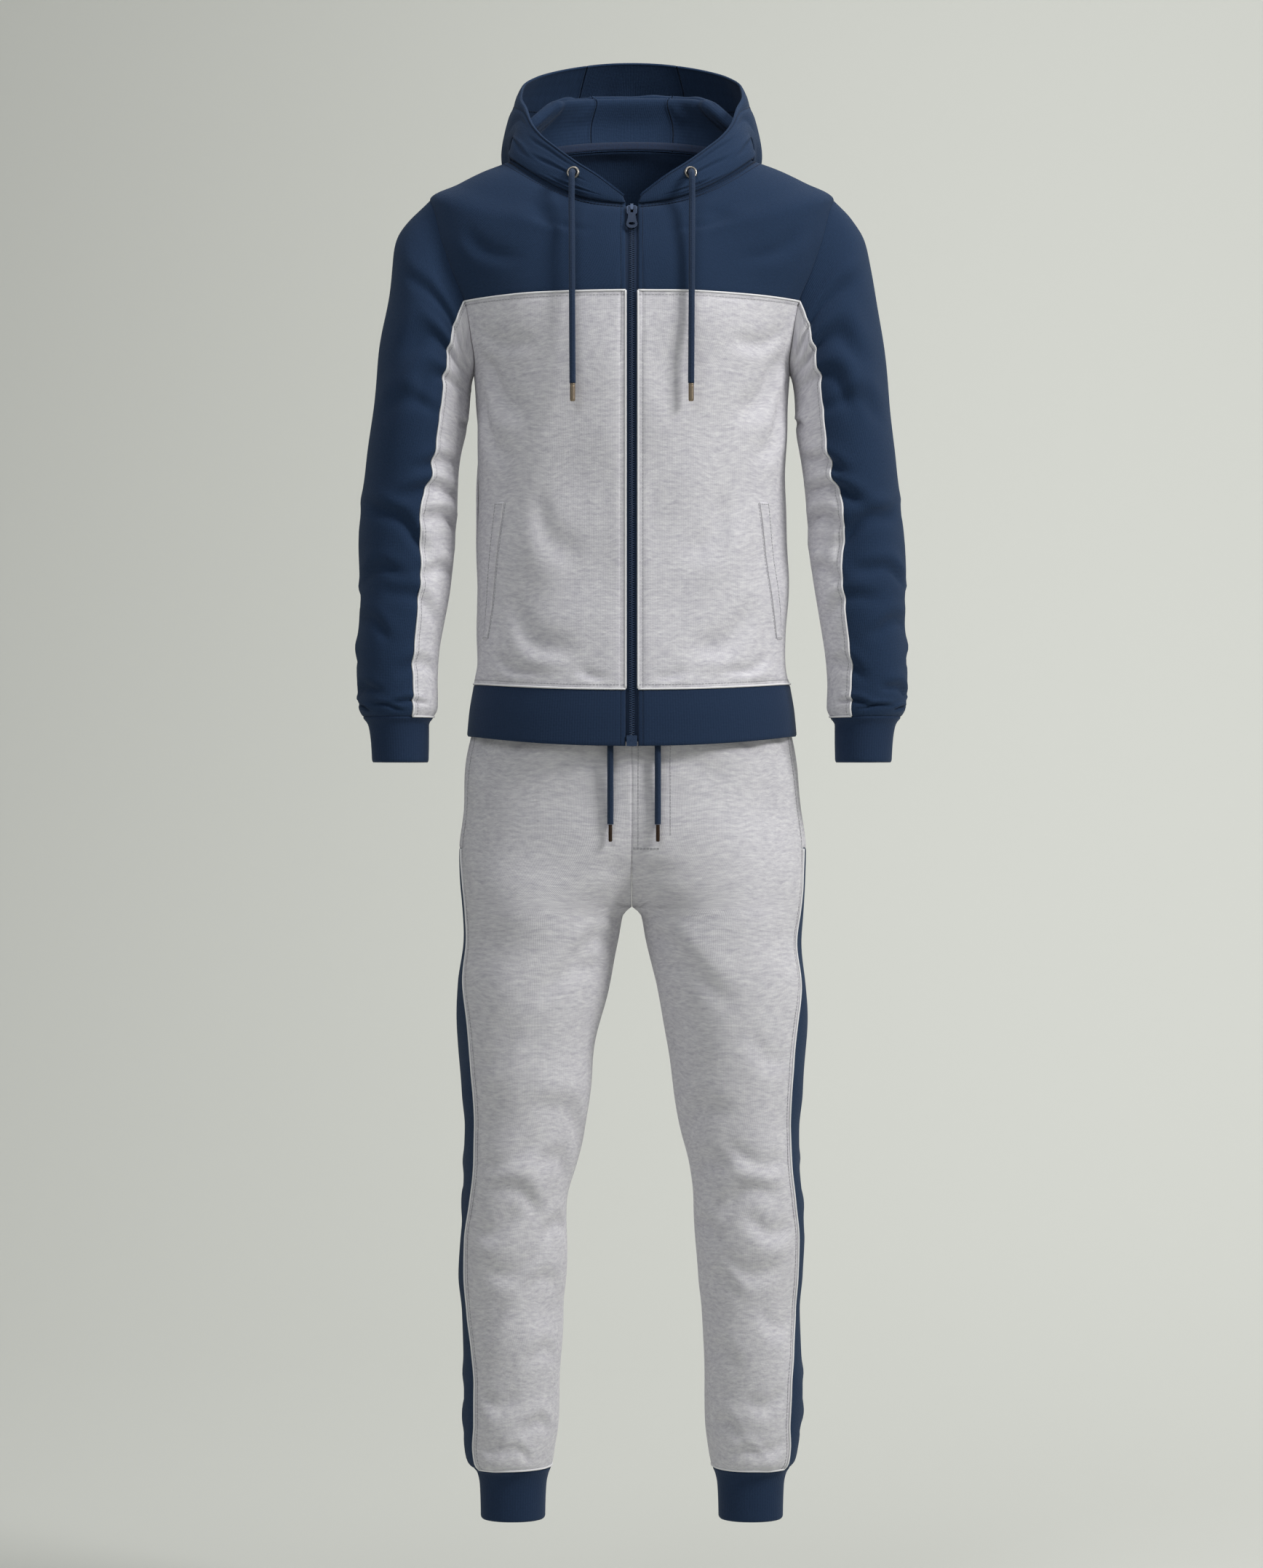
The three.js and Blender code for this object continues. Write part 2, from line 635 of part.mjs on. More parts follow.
// An outline as a flat plate, from low to high above the cloth
function slab(shape, low, high, holes) {
  shape.holes.push(...holes);
  const geometry = new THREE.ExtrudeGeometry(shape, {
    depth: high - low,
    bevelEnabled: false,
    curveSegments: 4,
  });
  return geometry.rotateX(quarter).translate(0, -low, 0);
}

// A plate with round corners, wide in x and tall in z
function plate(width, height, low, high, corner) {
  const shape = new THREE.Shape();
  const [w, h] = [width / 2, height / 2];
  shape.moveTo(-w + corner, -h);
  shape.lineTo(w - corner, -h);
  shape.absarc(w - corner, -h + corner, corner, -quarter, 0);
  shape.absarc(w - corner, h - corner, corner, 0, quarter);
  shape.absarc(-w + corner, h - corner, corner, quarter, Math.PI);
  shape.absarc(-w + corner, -h + corner, corner, Math.PI, 1.5 * Math.PI);
  return slab(shape, low, high, []);
}

function cleaned(geometry) {
  geometry.deleteAttribute('normal');
  geometry.deleteAttribute('uv');
  return mergeVertices(geometry, 1e-4);
}

const hardwareLow = lift + 0.3 - ribWall; // clear above the tapes
const boxSize = 12;
const boxFront = 1;
const boxCorner = 1;
const boxLevel = 0.18;
add(
  'zip_box',
  cleaned(plate(boxSize, boxSize, hardwareLow, boxFront, boxCorner))
    .applyMatrix4(zipFrame(boxLevel, hemLevel)),
  zipPlastic,
);

const sliderLevel = 15.05;
const sliderWidth = 11;
const sliderHeight = 12;
const sliderCorner = 2.2;
const sliderFront = 1.6;
const crownHalf = 1.6; // half the width of the bridge that the pull hangs on
const crownWall = 1.3;
const barHalf = 0.9; // half of the pull's top bar, which turns under the bridge
const barRoom = 0.3;
const barUp = 2.5; // from the slider's middle up to the bar
const barOut = sliderFront + barHalf * Math.SQRT2 + barRoom;
const crownOut = barOut + barHalf * Math.SQRT2 + barRoom;
const crownFoot = -3.4;
const crownHead = 5.6;
const crownBed = sliderFront - 0.4;
const crownBevel = 0.6;

function solidOf(geometry) {
  const merged = cleaned(geometry);
  return new wasm.Manifold(new wasm.Mesh({
    numProp: 3,
    vertProperties: merged.attributes.position.array,
    triVerts: new Uint32Array(merged.index.array),
  }));
}
function geometryOf(solid) {
  const { vertProperties, triVerts } = solid.getMesh();
  const geometry = new THREE.BufferGeometry();
  geometry.setAttribute('position', new THREE.BufferAttribute(vertProperties, 3));
  geometry.setIndex(new THREE.BufferAttribute(triVerts, 1));
  return geometry;
}

// The bridge: an arch on the slider's front, seen from the side, as wide as the crown
function crown() {
  const arch = new THREE.Shape();
  const top = crownOut + crownWall;
  arch.moveTo(crownFoot, crownBed);
  arch.lineTo(crownFoot + crownWall, crownBed);
  arch.lineTo(crownFoot + crownWall, crownOut);
  arch.lineTo(crownHead - crownWall, crownOut);
  arch.lineTo(crownHead - crownWall, crownBed);
  arch.lineTo(crownHead, crownBed);
  arch.lineTo(crownHead, top - crownBevel);
  arch.lineTo(crownHead - crownBevel, top);
  arch.lineTo(crownFoot + crownBevel, top);
  arch.lineTo(crownFoot, top - crownBevel);
  arch.closePath();
  const depth = 2 * crownHalf;
  const geometry = new THREE.ExtrudeGeometry(arch, { depth, bevelEnabled: false });
  const turn = new THREE.Matrix4().makeBasis(vec(0, 0, 1), vec(0, -1, 0), vec(1, 0, 0));
  return geometry.translate(0, 0, -crownHalf).applyMatrix4(turn);
}
const sliderPlate = plate(sliderWidth, sliderHeight, hardwareLow, sliderFront, sliderCorner);
const sliderFoot = sliderLevel - 0.5;
add(
  'zip_slider',
  geometryOf(solidOf(sliderPlate).add(solidOf(crown())))
    .applyMatrix4(zipFrame(sliderLevel, sliderFoot)),
  steel,
);

// The pull: a tab with a window for the bridge and a small eye at its foot
const pullFootLevel = 13;
const windowHalf = crownHalf + 0.55;
const windowFoot = -4.9;
const pullTop = barUp + barHalf;
const pullEyeHalf = 3.9;
const pullEyeTall = 1.9;
const pullEyeUp = 6; // from the pull's foot up to the middle of its eye

// Half the pull's width, by how far below its top it is
const pullSide = tableOf(
  ['below', 'half'],
  [
    [0, 4.3],
    [4, 4.9],
    [9, 4.4],
    [15, 4.2],
    [19.5, 5.4],
    [23.5, 6.5],
    [26.5, 5.6],
    [28.4, 3.4],
  ],
);
function pullOutline() {
  const left = pullSide.map(({ below, half }) => new THREE.Vector2(-half, pullTop - below));
  const foot = new THREE.Vector2(0, pullTop - pullLength);
  const right = left.map(({ x, y }) => new THREE.Vector2(-x, y)).reverse();
  return new THREE.Shape([...left, foot, ...right]);
}
const pullEye = new THREE.Path();
pullEye.absellipse(0, pullTop - pullLength + pullEyeUp, pullEyeHalf, pullEyeTall, 0, fullTurn, true);
const pullWindow = new THREE.Path();
pullWindow.moveTo(-windowHalf, windowFoot);
pullWindow.lineTo(-windowHalf, barUp - barHalf);
pullWindow.lineTo(windowHalf, barUp - barHalf);
pullWindow.lineTo(windowHalf, windowFoot);
pullWindow.closePath();
const pullPlate = slab(pullOutline(), barOut - barHalf, barOut + barHalf, [pullEye, pullWindow]);
const pullFrame = zipFrame(sliderLevel, pullFootLevel);
add('zip_pull', cleaned(pullPlate).applyMatrix4(pullFrame), steel);

// Pocket welts, laid on the fronts
const weltTop = { across: 143, level: 5.62 };
const weltFoot = { across: 163, level: 3.4 };
const weltWidth = 12;
const weltWall = 1.6;
const weltRows = steps(6, (f) => {
  const level = lerp(weltFoot.level, weltTop.level, f);
  const across = lerp(weltFoot.across, weltTop.across, f);
  const angle = angleAcross(across, level);
  const wide = weltWidth / torsoPoint(angle, level).distanceTo(torsoPoint(angle + 1, level));
  return steps(2, (g) => [angle + wide * g, level]);
});
for (const [name, side] of sides) {
  const grid = (depth) => sunk(torsoPoint, weltRows, depth)
    .map((row) => row.map((point) => mirrored(point, side)));
  add(`pocket_welt_${name}`, solidBetween(grid(-lift - weltWall), grid(-lift), false), greyCloth);
}

// Eyelets in the hood's channel
const eyeletPlace = [28 * degrees, 7.2];
const eyeletCentre = hoodPoint(...eyeletPlace);
const eyeletOut = facing(hoodPoint, eyeletPlace);
const eyeletFoot = lift + 0.1;
const eyeletRim = eyeletFoot + eyeletThick * 0.7;
const eyeletShape = [
  [eyeletHole, eyeletFoot],
  [eyeletOuter, eyeletFoot],
  [eyeletOuter - 0.4, eyeletRim],
  [(eyeletOuter + eyeletHole) / 2, eyeletFoot + eyeletThick],
  [eyeletHole + 0.2, eyeletRim],
  [eyeletHole, eyeletFoot],
].map(([radius, height]) => new THREE.Vector2(radius, height));
function ring(shape, centre, out, side) {
  const turned = new THREE.Quaternion().setFromUnitVectors(vec(0, 1, 0), mirrored(out, side));
  return cleaned(new THREE.LatheGeometry(shape, 20))
    .applyQuaternion(turned).translate(centre.x * side, centre.y, centre.z);
}
for (const [name, side] of sides) {
  add(`eyelet_${name}`, ring(eyeletShape, eyeletCentre, eyeletOut, side), steel);
}

// A tube along points chosen by hand
function tube(points, radius, count) {
  const path = new THREE.CatmullRomCurve3(points, false, 'centripetal');
  const circle = new THREE.Shape().absarc(0, 0, radius, 0, fullTurn);
  return cleaned(new THREE.ExtrudeGeometry(circle, {
    extrudePath: path,
    steps: count,
    curveSegments: cordSides / 2,
    bevelEnabled: false,
  }));
}
function rod(from, to, radius) {
  return tube([from, from.clone().lerp(to, 0.5), to], radius, 2);
}

// Hood cords: out of the eyelets, down over the yoke and the fronts
const cordStart = eyeletCentre.clone().addScaledVector(eyeletOut, lift + 0.2);
const hoodCordPath = [
  cordStart,
  cordStart.clone().addScaledVector(eyeletOut, 3),
  vec(67.5, -84, -20),
  vec(67.5, -89, -32),
  vec(67.5, -93, -50),
  vec(67.2, -101, -74),
  vec(67, -109, -100),
  vec(66.8, -115.5, -130),
  vec(66.6, -119.5, -160),
  vec(66.4, -121.5, -190),
  vec(66.2, -122.5, -225),
  vec(66, -122.5, -257),
];
const tipGap = 0.3;
const hoodTipTop = hoodCordPath[hoodCordPath.length - 1].clone().add(vec(0, 0, -tipGap));
const hoodTipEnd = hoodTipTop.clone().add(vec(0, 0, -hoodTipLength));
for (const [name, side] of sides) {
  const path = hoodCordPath.map((point) => mirrored(point, side));
  add(`hood_cord_${name}`, tube(path, cordRadius, 26), navyCloth);
  add(
    `hood_cord_tip_${name}`,
    rod(mirrored(hoodTipTop, side), mirrored(hoodTipEnd, side), hoodTipRadius),
    brass,
  );
}

// Trousers
const legDrops = [
  614, 650, 690, 730, 776, 812, 842, 852, 880, 930, 985, 1040, 1096, 1137, 1179, 1220, 1262,
  1317, 1380, 1440, 1466, 1482,
];
const stripeAt = (drop) => read(leg, 'z', 'stripe', -drop) * degrees;
const legGrid = (drops, from, to, count) =>
  drops.map((drop) => steps(count, (f) => [lerp(from(drop), to(drop), f), drop]));
const backEdge = () => stripeBack;
const legFront = legGrid(legDrops, stripeAt, (drop) => legEnd(-drop), legFrontSteps);
const legBack = legGrid(legDrops, (drop) => -legEnd(-drop), backEdge, legFrontSteps);
const facingDrops = legDrops.filter((drop) => drop <= -facingZ);
const stripeDrops = legDrops.filter((drop) => drop >= -facingZ);
const hipFacing = legGrid(facingDrops, backEdge, stripeAt, stripeSteps);
const sideStripe = legGrid(stripeDrops, backEdge, stripeAt, stripeSteps);
const ankleDrop = -ankleSeamZ;
const ankleTurns = [
  ...steps(stripeSteps, (f) => lerp(stripeBack, stripeAt(ankleDrop), f)),
  ...steps(legFrontSteps, (f) => lerp(stripeAt(ankleDrop), Math.PI, f)).slice(1),
  ...steps(legFrontSteps, (f) => lerp(Math.PI, fullTurn + stripeBack, f)).slice(1, -1),
];
const ankleDrops = [ankleDrop, 1490, 1502, 1522, 1541];
const ankleCuff = ankleDrops.map((drop) => ankleTurns.map((turn) => [turn, drop]));
const centreClear = seamGap / 2;
for (const [name, side] of sides) {
  const options = { side, clear: centreClear };
  add(`leg_front_${name}`, clothOver(legPoint, legFront, clothWall, options), greyCloth);
  add(`leg_back_${name}`, clothOver(legPoint, legBack, clothWall, options), greyCloth);
  add(`hip_facing_${name}`, clothOver(legPoint, hipFacing, clothWall, options), greyCloth);
  add(`side_stripe_${name}`, clothOver(legPoint, sideStripe, clothWall, options), navyCloth);
  add(
    `ankle_cuff_${name}`,
    clothOver(legPoint, ankleCuff, ribWall, { side, closed: true }),
    rib,
  );
}

// Waistband: one ring, its points in line with the legs' own
const waistPoint = (turn, drop) => {
  const right = Math.cos(turn) >= 0;
  const own = legPoint(right ? turn : Math.PI - turn, drop);
  return mirrored(own, right ? 1 : -1);
};
const rightTurns = [
  ...steps(legFrontSteps, (f) => lerp(-quarter, stripeBack, f)),
  ...steps(stripeSteps, (f) => lerp(stripeBack, stripeAt(-waistZ), f)).slice(1, -1),
  ...steps(legFrontSteps, (f) => lerp(stripeAt(-waistZ), quarter, f)),
];
const waistTurns = [...rightTurns, ...rightTurns.slice(1, -1).reverse().map((t) => Math.PI - t)];
const waistBand = [waistTopZ, (waistTopZ + waistZ) / 2, waistZ].map((z) =>
  waistTurns.map((turn) => [turn, -z]));
add('waistband', clothOver(waistPoint, waistBand, ribWall, { closed: true }), rib);

// Waist cords: out of the band, down in front of the trousers
const waistAcross = { left: 24, right: 29 };
for (const [name, side] of sides) {
  const x = side * waistAcross[name];
  const path = [
    vec(x, -104.2, -597),
    vec(x, -109, -599),
    vec(x, -112, -604),
    vec(x, -113, -612),
    vec(x, -113.4, -630),
    vec(x, -113.2, -655),
    vec(x, -112.6, -680),
    vec(x, -111.6, -705),
    vec(x, -110.8, -730),
    vec(x, -110.6, -748.5),
  ];
  const tipTop = path[path.length - 1].clone().add(vec(0, 0, -tipGap));
  const tipEnd = tipTop.clone().add(vec(0, 0, -waistTipLength));
  add(`waist_cord_${name}`, tube(path, cordRadius, 20), navyCloth);
  add(`waist_cord_tip_${name}`, rod(tipTop, tipEnd, waistTipRadius), darkMetal);
}

export default tracksuit;
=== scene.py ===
import math
import re
import bmesh
import bpy
import numpy as np
from mathutils import Matrix, Vector


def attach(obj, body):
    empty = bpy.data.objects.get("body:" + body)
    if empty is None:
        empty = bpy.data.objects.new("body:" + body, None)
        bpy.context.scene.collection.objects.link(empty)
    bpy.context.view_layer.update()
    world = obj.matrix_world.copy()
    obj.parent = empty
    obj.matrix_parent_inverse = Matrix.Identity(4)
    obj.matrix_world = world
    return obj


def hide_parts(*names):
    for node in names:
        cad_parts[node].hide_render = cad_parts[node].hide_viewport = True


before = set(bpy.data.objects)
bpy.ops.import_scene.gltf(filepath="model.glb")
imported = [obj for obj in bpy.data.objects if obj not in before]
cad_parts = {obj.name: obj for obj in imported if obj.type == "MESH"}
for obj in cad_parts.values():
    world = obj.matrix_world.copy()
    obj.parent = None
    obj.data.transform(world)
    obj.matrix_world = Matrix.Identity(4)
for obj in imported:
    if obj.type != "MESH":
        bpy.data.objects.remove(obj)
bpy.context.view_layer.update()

# Sizes are in millimetres in the tables below, and in metres in the scene
mm = 0.001
rad = math.radians
quarter = math.pi / 2
fullTurn = 2 * math.pi

# Camera
cameraSet = {
    "lens": 100.6,
    "place": (-0.0004, -5.0, -0.7034),
}
cameraData = bpy.data.cameras.new("camera")
cameraData.lens = cameraSet["lens"]
cameraData.sensor_width = 36
camera = bpy.data.objects.new("camera", cameraData)
camera.location = cameraSet["place"]
camera.rotation_euler = (quarter, 0, 0)
bpy.context.scene.collection.objects.link(camera)
bpy.context.scene.camera = camera
print("camera")


# Tables and curves
def tableOf(columns, rows):
    return {name: np.array([row[i] for row in rows], float) for i, name in enumerate(columns.split())}


# The smooth line through one column, which never passes its neighbours' values
def read(table, key, column, at):
    x, y = table[key], table[column]
    if x[1] < x[0]:
        x, y = x[::-1], y[::-1]
    at = np.asarray(at, float)
    wide = np.diff(x)
    grade = np.diff(y) / wide
    slope = np.empty_like(y)
    slope[0], slope[-1] = grade[0], grade[-1]
    a, b = grade[:-1], grade[1:]
    slope[1:-1] = np.where(a * b > 0, 2 * a * b / np.where(a + b == 0, 1, a + b), 0)
    k = np.clip(np.searchsorted(x, at, side="right") - 1, 0, len(x) - 2)
    f = (at - x[k]) / wide[k]
    g = np.clip(f, 0, 1)
    inside = y[k] + (y[k + 1] - y[k]) * g * g * (3 - 2 * g)
    inside = inside + wide[k] * (slope[k] * g * (1 - g) ** 2 - slope[k + 1] * g * g * (1 - g))
    inside = inside + np.where(f < 0, slope[k] * f * wide[k], 0)
    return inside + np.where(f > 1, slope[k + 1] * (f - 1) * wide[k], 0)


def power(v, exponent):
    return np.sign(v) * np.abs(v) ** exponent


def ease(f):
    g = np.clip(f, 0, 1)
    return g * g * (3 - 2 * g)


def lerp(a, b, f):
    return a + (b - a) * f


def steps(count, start=0.0, end=1.0):
    return np.linspace(start, end, count + 1)


def unit(v):
    return v / np.maximum(np.linalg.norm(v, axis=-1, keepdims=True), 1e-9)


# The forms the cloth follows
torso = tableOf("level frontZ sideZ backZ half front back", [
    [0, -661, -649, -655, 188.3, 129, 121], [1, -629, -620, -624, 185.5, 128, 120],
    [2, -598, -590, -594, 180.5, 125, 117], [3, -566, -560, -562, 176.8, 123, 115],
    [4, -500, -500, -500, 178, 119, 111], [5, -430, -430, -430, 177, 117, 109],
    [6, -360, -360, -360, 176.5, 118, 110], [7, -298, -298, -298, 177.5, 121, 113],
    [8, -240, -236, -238, 180.5, 123, 115], [9, -196, -200, -198, 194, 122, 115],
    [10, -152, -159, -155, 208, 118, 112], [11, -126, -118, -112, 225, 112, 106],
    [12, -104, -78, -70, 232, 105, 98], [13, -86, -38, -30, 231, 98, 88],
    [14, -72, -19, -8, 199, 92, 80], [15, -60, -3, 12, 167, 86, 73],
    [16, -51, 8, 28, 137, 78, 64],
])
roundness = 2 / 2.2
torsoCentreY = 5
bandLevel, underarmLevel, yokeLevel, shoulderLevel, neckLevel = 2, 8, 10, 13, 16
holeMiddle, holeHalf = (underarmLevel + shoulderLevel) / 2, (shoulderLevel - underarmLevel) / 2
holeTurn = rad(26)


def torsoPoint(angle, level):
    angle, level = np.broadcast_arrays(angle, level)
    across, along = np.sin(angle), np.cos(angle)
    front = along > 0
    depth = np.where(front, read(torso, "level", "front", level), read(torso, "level", "back", level))
    end = np.where(front, read(torso, "level", "frontZ", level), read(torso, "level", "backZ", level))
    return np.stack([
        read(torso, "level", "half", level) * power(across, roundness),
        torsoCentreY - depth * power(along, roundness),
        lerp(end, read(torso, "level", "sideZ", level), across * across),
    ], -1)


def angleAcross(distance, level):
    return np.arcsin((distance / read(torso, "level", "half", level)) ** (1 / roundness))


def armhole(turn):
    turn = np.asarray(turn, float)
    return np.stack([quarter - holeTurn * power(np.sin(turn), 0.9), holeMiddle + holeHalf * np.cos(turn)], -1)


# How far a place on the torso is from the armhole's middle: its edge is at 1
def fromHole(a, b):
    turn = np.abs((a + math.pi) % fullTurn - math.pi)
    return np.hypot((turn - quarter) / holeTurn, (b - holeMiddle) / holeHalf)


yokeTurn = math.acos((2 * yokeLevel - underarmLevel - shoulderLevel) / (shoulderLevel - underarmLevel))

sleeve = tableOf("row outX outZ inX inZ depth centreY seam", [
    [0, 231, -38, 180.5, -236, 58, 8, 101.5], [1, 252, -60, 181.5, -240, 62, 8, 106],
    [2, 266, -84, 183, -246, 66, 8, 111], [3, 273, -118, 184.5, -254, 70, 8, 115],
    [4, 280.5, -162, 186, -266, 72, 7, 118], [5, 287.5, -208, 187.5, -282, 73, 5, 119],
    [6, 293.5, -255, 189.5, -303, 73, 3, 119], [7, 298.5, -307, 194, -332, 71, 1, 119],
    [8, 303, -345, 197, -362, 68, -1, 117], [9, 309, -390, 199.5, -396, 64, -4, 107],
    [10, 311, -440, 202.5, -440, 60, -8, 112], [11, 311, -480, 207.5, -478, 57, -13, 115],
    [12, 311, -520, 214, -518, 54, -18, 116], [13, 313, -560, 219, -558, 51, -23, 117],
    [14, 311.5, -597, 222, -596, 48, -27, 118], [15, 310, -616, 222, -616, 46, -29, 117],
    [16, 305, -627, 226, -627, 42, -30, 117], [17, 299, -637, 230, -637, 37, -31, 114],
    [18, 296, -655, 230, -655, 35.5, -31, 114], [19, 294.5, -679, 230.5, -679, 35, -31, 114],
])


def sleeveRing(turn, row):
    turn, row = np.broadcast_arrays(turn, row)
    at = {name: read(sleeve, "row", name, row) for name in ("outX", "outZ", "inX", "inZ", "depth", "centreY")}
    cos = np.cos(turn)
    return np.stack([
        (at["outX"] + at["inX"]) / 2 + (at["outX"] - at["inX"]) / 2 * cos,
        at["centreY"] - at["depth"] * np.sin(turn),
        (at["outZ"] + at["inZ"]) / 2 + (at["outZ"] - at["inZ"]) / 2 * cos,
    ], -1)


def sleevePoint(turn, row):
    turn, row = np.broadcast_arrays(turn, row)
    hole = armhole(turn)
    own = torsoPoint(hole[..., 0], hole[..., 1]) - sleeveRing(turn, np.zeros_like(turn))
    return sleeveRing(turn, row) + own * (1 - ease(row / 5))[..., None]


leg = tableOf("z outer inner front back centreY stripe", [
    [-573, 160, 0, 103, 98, 3, 12], [-614, 170, 0, 108, 104, 3, 12],
    [-650, 182.5, 0, 111, 110, 3, 11], [-690, 189.5, 0, 110, 115, 3, 10],
    [-730, 193, 0, 108, 119, 3, 10], [-776, 197.5, 0, 106, 122, 3, 11],
    [-812, 196.5, 0, 105, 122, 3, 15], [-842, 194.5, 0, 103, 121, 3, 18],
    [-852, 193.8, 10, 103, 120, 3, 19], [-880, 192.5, 15, 102, 118, 3, 22],
    [-930, 197.5, 25.7, 99, 112, 2, 26], [-971, 198.8, 34.5, 95, 106, 2, 33],
    [-1012, 198, 43, 91, 100, 1, 38], [-1054, 195.5, 48.5, 87, 94, 0, 40],
    [-1096, 190.5, 55.6, 83, 89, 0, 37], [-1137, 192, 65, 80, 85, 1, 39],
    [-1179, 194.6, 72.3, 77, 81, 2, 36], [-1220, 196.3, 74, 75, 78, 2, 31],
    [-1262, 196, 74.5, 72, 76, 3, 31], [-1303, 193, 78.8, 69, 73, 4, 29],
    [-1345, 193.8, 80.9, 66, 70, 5, 37], [-1386, 195, 81.8, 63, 67, 6, 45],
    [-1428, 193.4, 84.2, 61, 64, 7, 45], [-1461, 189.6, 88, 58, 61, 8, 40],
    [-1474, 187, 89.8, 56, 59, 8, 40], [-1482, 181.3, 91.7, 51, 53, 8, 40],
    [-1490, 176.4, 95, 45, 47, 8, 40], [-1502, 173.9, 97.5, 42, 43, 8, 40],
    [-1522, 173, 98.6, 41, 42, 8, 40], [-1541, 172.6, 99, 40, 41, 8, 40],
])
hipZ, crotchZ = -700, -842
# Seams of the trousers, as drops below the origin
waistDrop, facingDrop, ankleDrop, footDrop = 614, 776, 1482, 1541
legRoundness = 0.93
stripeBack = rad(-34)


def cut(z):
    return np.where(z < crotchZ, 1, np.clip((hipZ - z) / (hipZ - crotchZ), 0, 1) ** 1.8)


def legEnd(z):
    return np.arccos(-(cut(z) ** (1 / legRoundness)))


def stripeAt(drop):
    return np.radians(read(leg, "z", "stripe", -np.asarray(drop, float)))


def legPoint(turn, drop):
    turn, drop = np.broadcast_arrays(turn, drop)
    z = -drop
    outer = read(leg, "z", "outer", z)
    inner = np.where(z < crotchZ, read(leg, "z", "inner", z), 0)
    share = cut(z) / (1 + cut(z))
    centre = np.where(z < crotchZ, (outer + inner) / 2, outer * share)
    side = np.sin(turn)
    depth = np.where(side > 0, read(leg, "z", "front", z), read(leg, "z", "back", z))
    return np.stack([
        centre + (outer - centre) * power(np.cos(turn), legRoundness),
        read(leg, "z", "centreY", z) - depth * power(side, legRoundness),
        z,
    ], -1)


# The hood runs along from its neck seam at 0 to its free edge at 11
hoodRows = 11
hoodRim = tableOf("turn x y z", [
    [0, 5, -75, -46], [15, 38, -73, -19], [30, 64, -66, -1], [45, 86, -52, 17],
    [60, 103, -36, 33], [75, 114, -16, 50], [90, 120, 8, 69], [105, 128, 38, 89],
    [120, 126, 64, 105], [135, 112, 88, 118], [150, 83, 107, 129], [165, 44.5, 118, 137],
    [180, 0, 125, 144.5],
])
hoodFold = tableOf("turn fold crestX crestY crestZ pouchX pouchY pouchZ swell", [
    [60, 0, 110, -20, 40, 130, -28, 22, 3], [75, 0.02, 107, -6, 50, 144, -10, 12, 5],
    [90, 0.2, 103, 14, 61, 143, 24, 12, 6], [105, 0.75, 99, 34, 71, 141, 54, 6, 10],
    [120, 1, 92, 50, 79, 132, 90, -22, 22], [140, 1, 75, 63, 85, 104, 114, -76, 34],
    [160, 1, 48, 77, 88, 56, 128, -112, 42], [180, 1, 0, 84, 89, 0, 133, -122, 46],
])


# The hood's section at each turn: 12 points from the neck seam over crest and pouch to the free edge
def hoodSections(turn):
    half = np.degrees(np.arccos(np.cos(turn)))
    side = np.where(np.sin(turn) < 0, -1, 1)

    # depth and height level out at the middle of the back
    rest = 180 - half
    level = 180 - np.where(rest < 20, rest * rest / 40 + 10, rest)

    def place(table, name):
        keys = [name + axis for axis in "XYZ"] if name else list("xyz")
        x, y, z = [read(table, "turn", key, at) for key, at in zip(keys, (half, level, level))]
        return np.stack([side * x, y, z], -1)

    neck = torsoPoint(turn, np.full_like(turn, neckLevel))
    rim, crest, pouch = place(hoodRim, ""), place(hoodFold, "crest"), place(hoodFold, "pouch")
    fold = np.where(half < 60, 0, read(hoodFold, "turn", "fold", half))[..., None]
    swell = read(hoodFold, "turn", "swell", half)[..., None]
    outward = unit(np.stack([neck[..., 0], neck[..., 1] - 5, np.zeros_like(half)], -1))
    tall = np.linalg.norm(rim - neck, axis=-1, keepdims=True)

    def mix(a, b, f, out, up):
        return lerp(a, b, f) + outward * out + np.array([0, 0, up])

    folded = [
        neck, mix(neck, crest, 0.5, 3, 0), mix(crest, crest, 0, -5, -5), crest,
        mix(crest, crest, 0, 7, -6), mix(crest, pouch, 0.5, 0, 0), mix(pouch, pouch, 0, -8, 8), pouch,
        mix(pouch, pouch, 0, 4, 8), mix(pouch, rim, 0.33, swell, 0), mix(pouch, rim, 0.68, swell * 0.75, 0), rim,
    ]
    out = []
    for i, point in enumerate(folded):
        f = i / hoodRows
        bulge = 0.18 * tall * math.sin(math.pi * f ** 0.5)
        out.append(lerp(mix(neck, rim, f, bulge, 0), point, fold))
    return np.stack(out, -2)


def hoodPoint(turn, along):
    turn, along = np.broadcast_arrays(np.asarray(turn, float), np.asarray(along, float))
    points = hoodSections(turn)
    k = np.clip(np.floor(along), 0, hoodRows - 1).astype(int)
    f = (along - k)[..., None]

    def pick(index):
        return np.take_along_axis(points, np.clip(index, 0, hoodRows)[..., None, None], -2)[..., 0, :]

    a, b, c, d = pick(k - 1), pick(k), pick(k + 1), pick(k + 2)
    bend = 2 * a - 5 * b + 4 * c - d
    return 0.5 * (2 * b + (c - a) * f + bend * f * f + (3 * b - a - 3 * c + d) * f ** 3)


def facing(surface, a, b, small=0.004):
    across = surface(a + small, b) - surface(a - small, b)
    along = surface(a, b + small) - surface(a, b - small)
    return unit(np.cross(across, along))


print("forms")


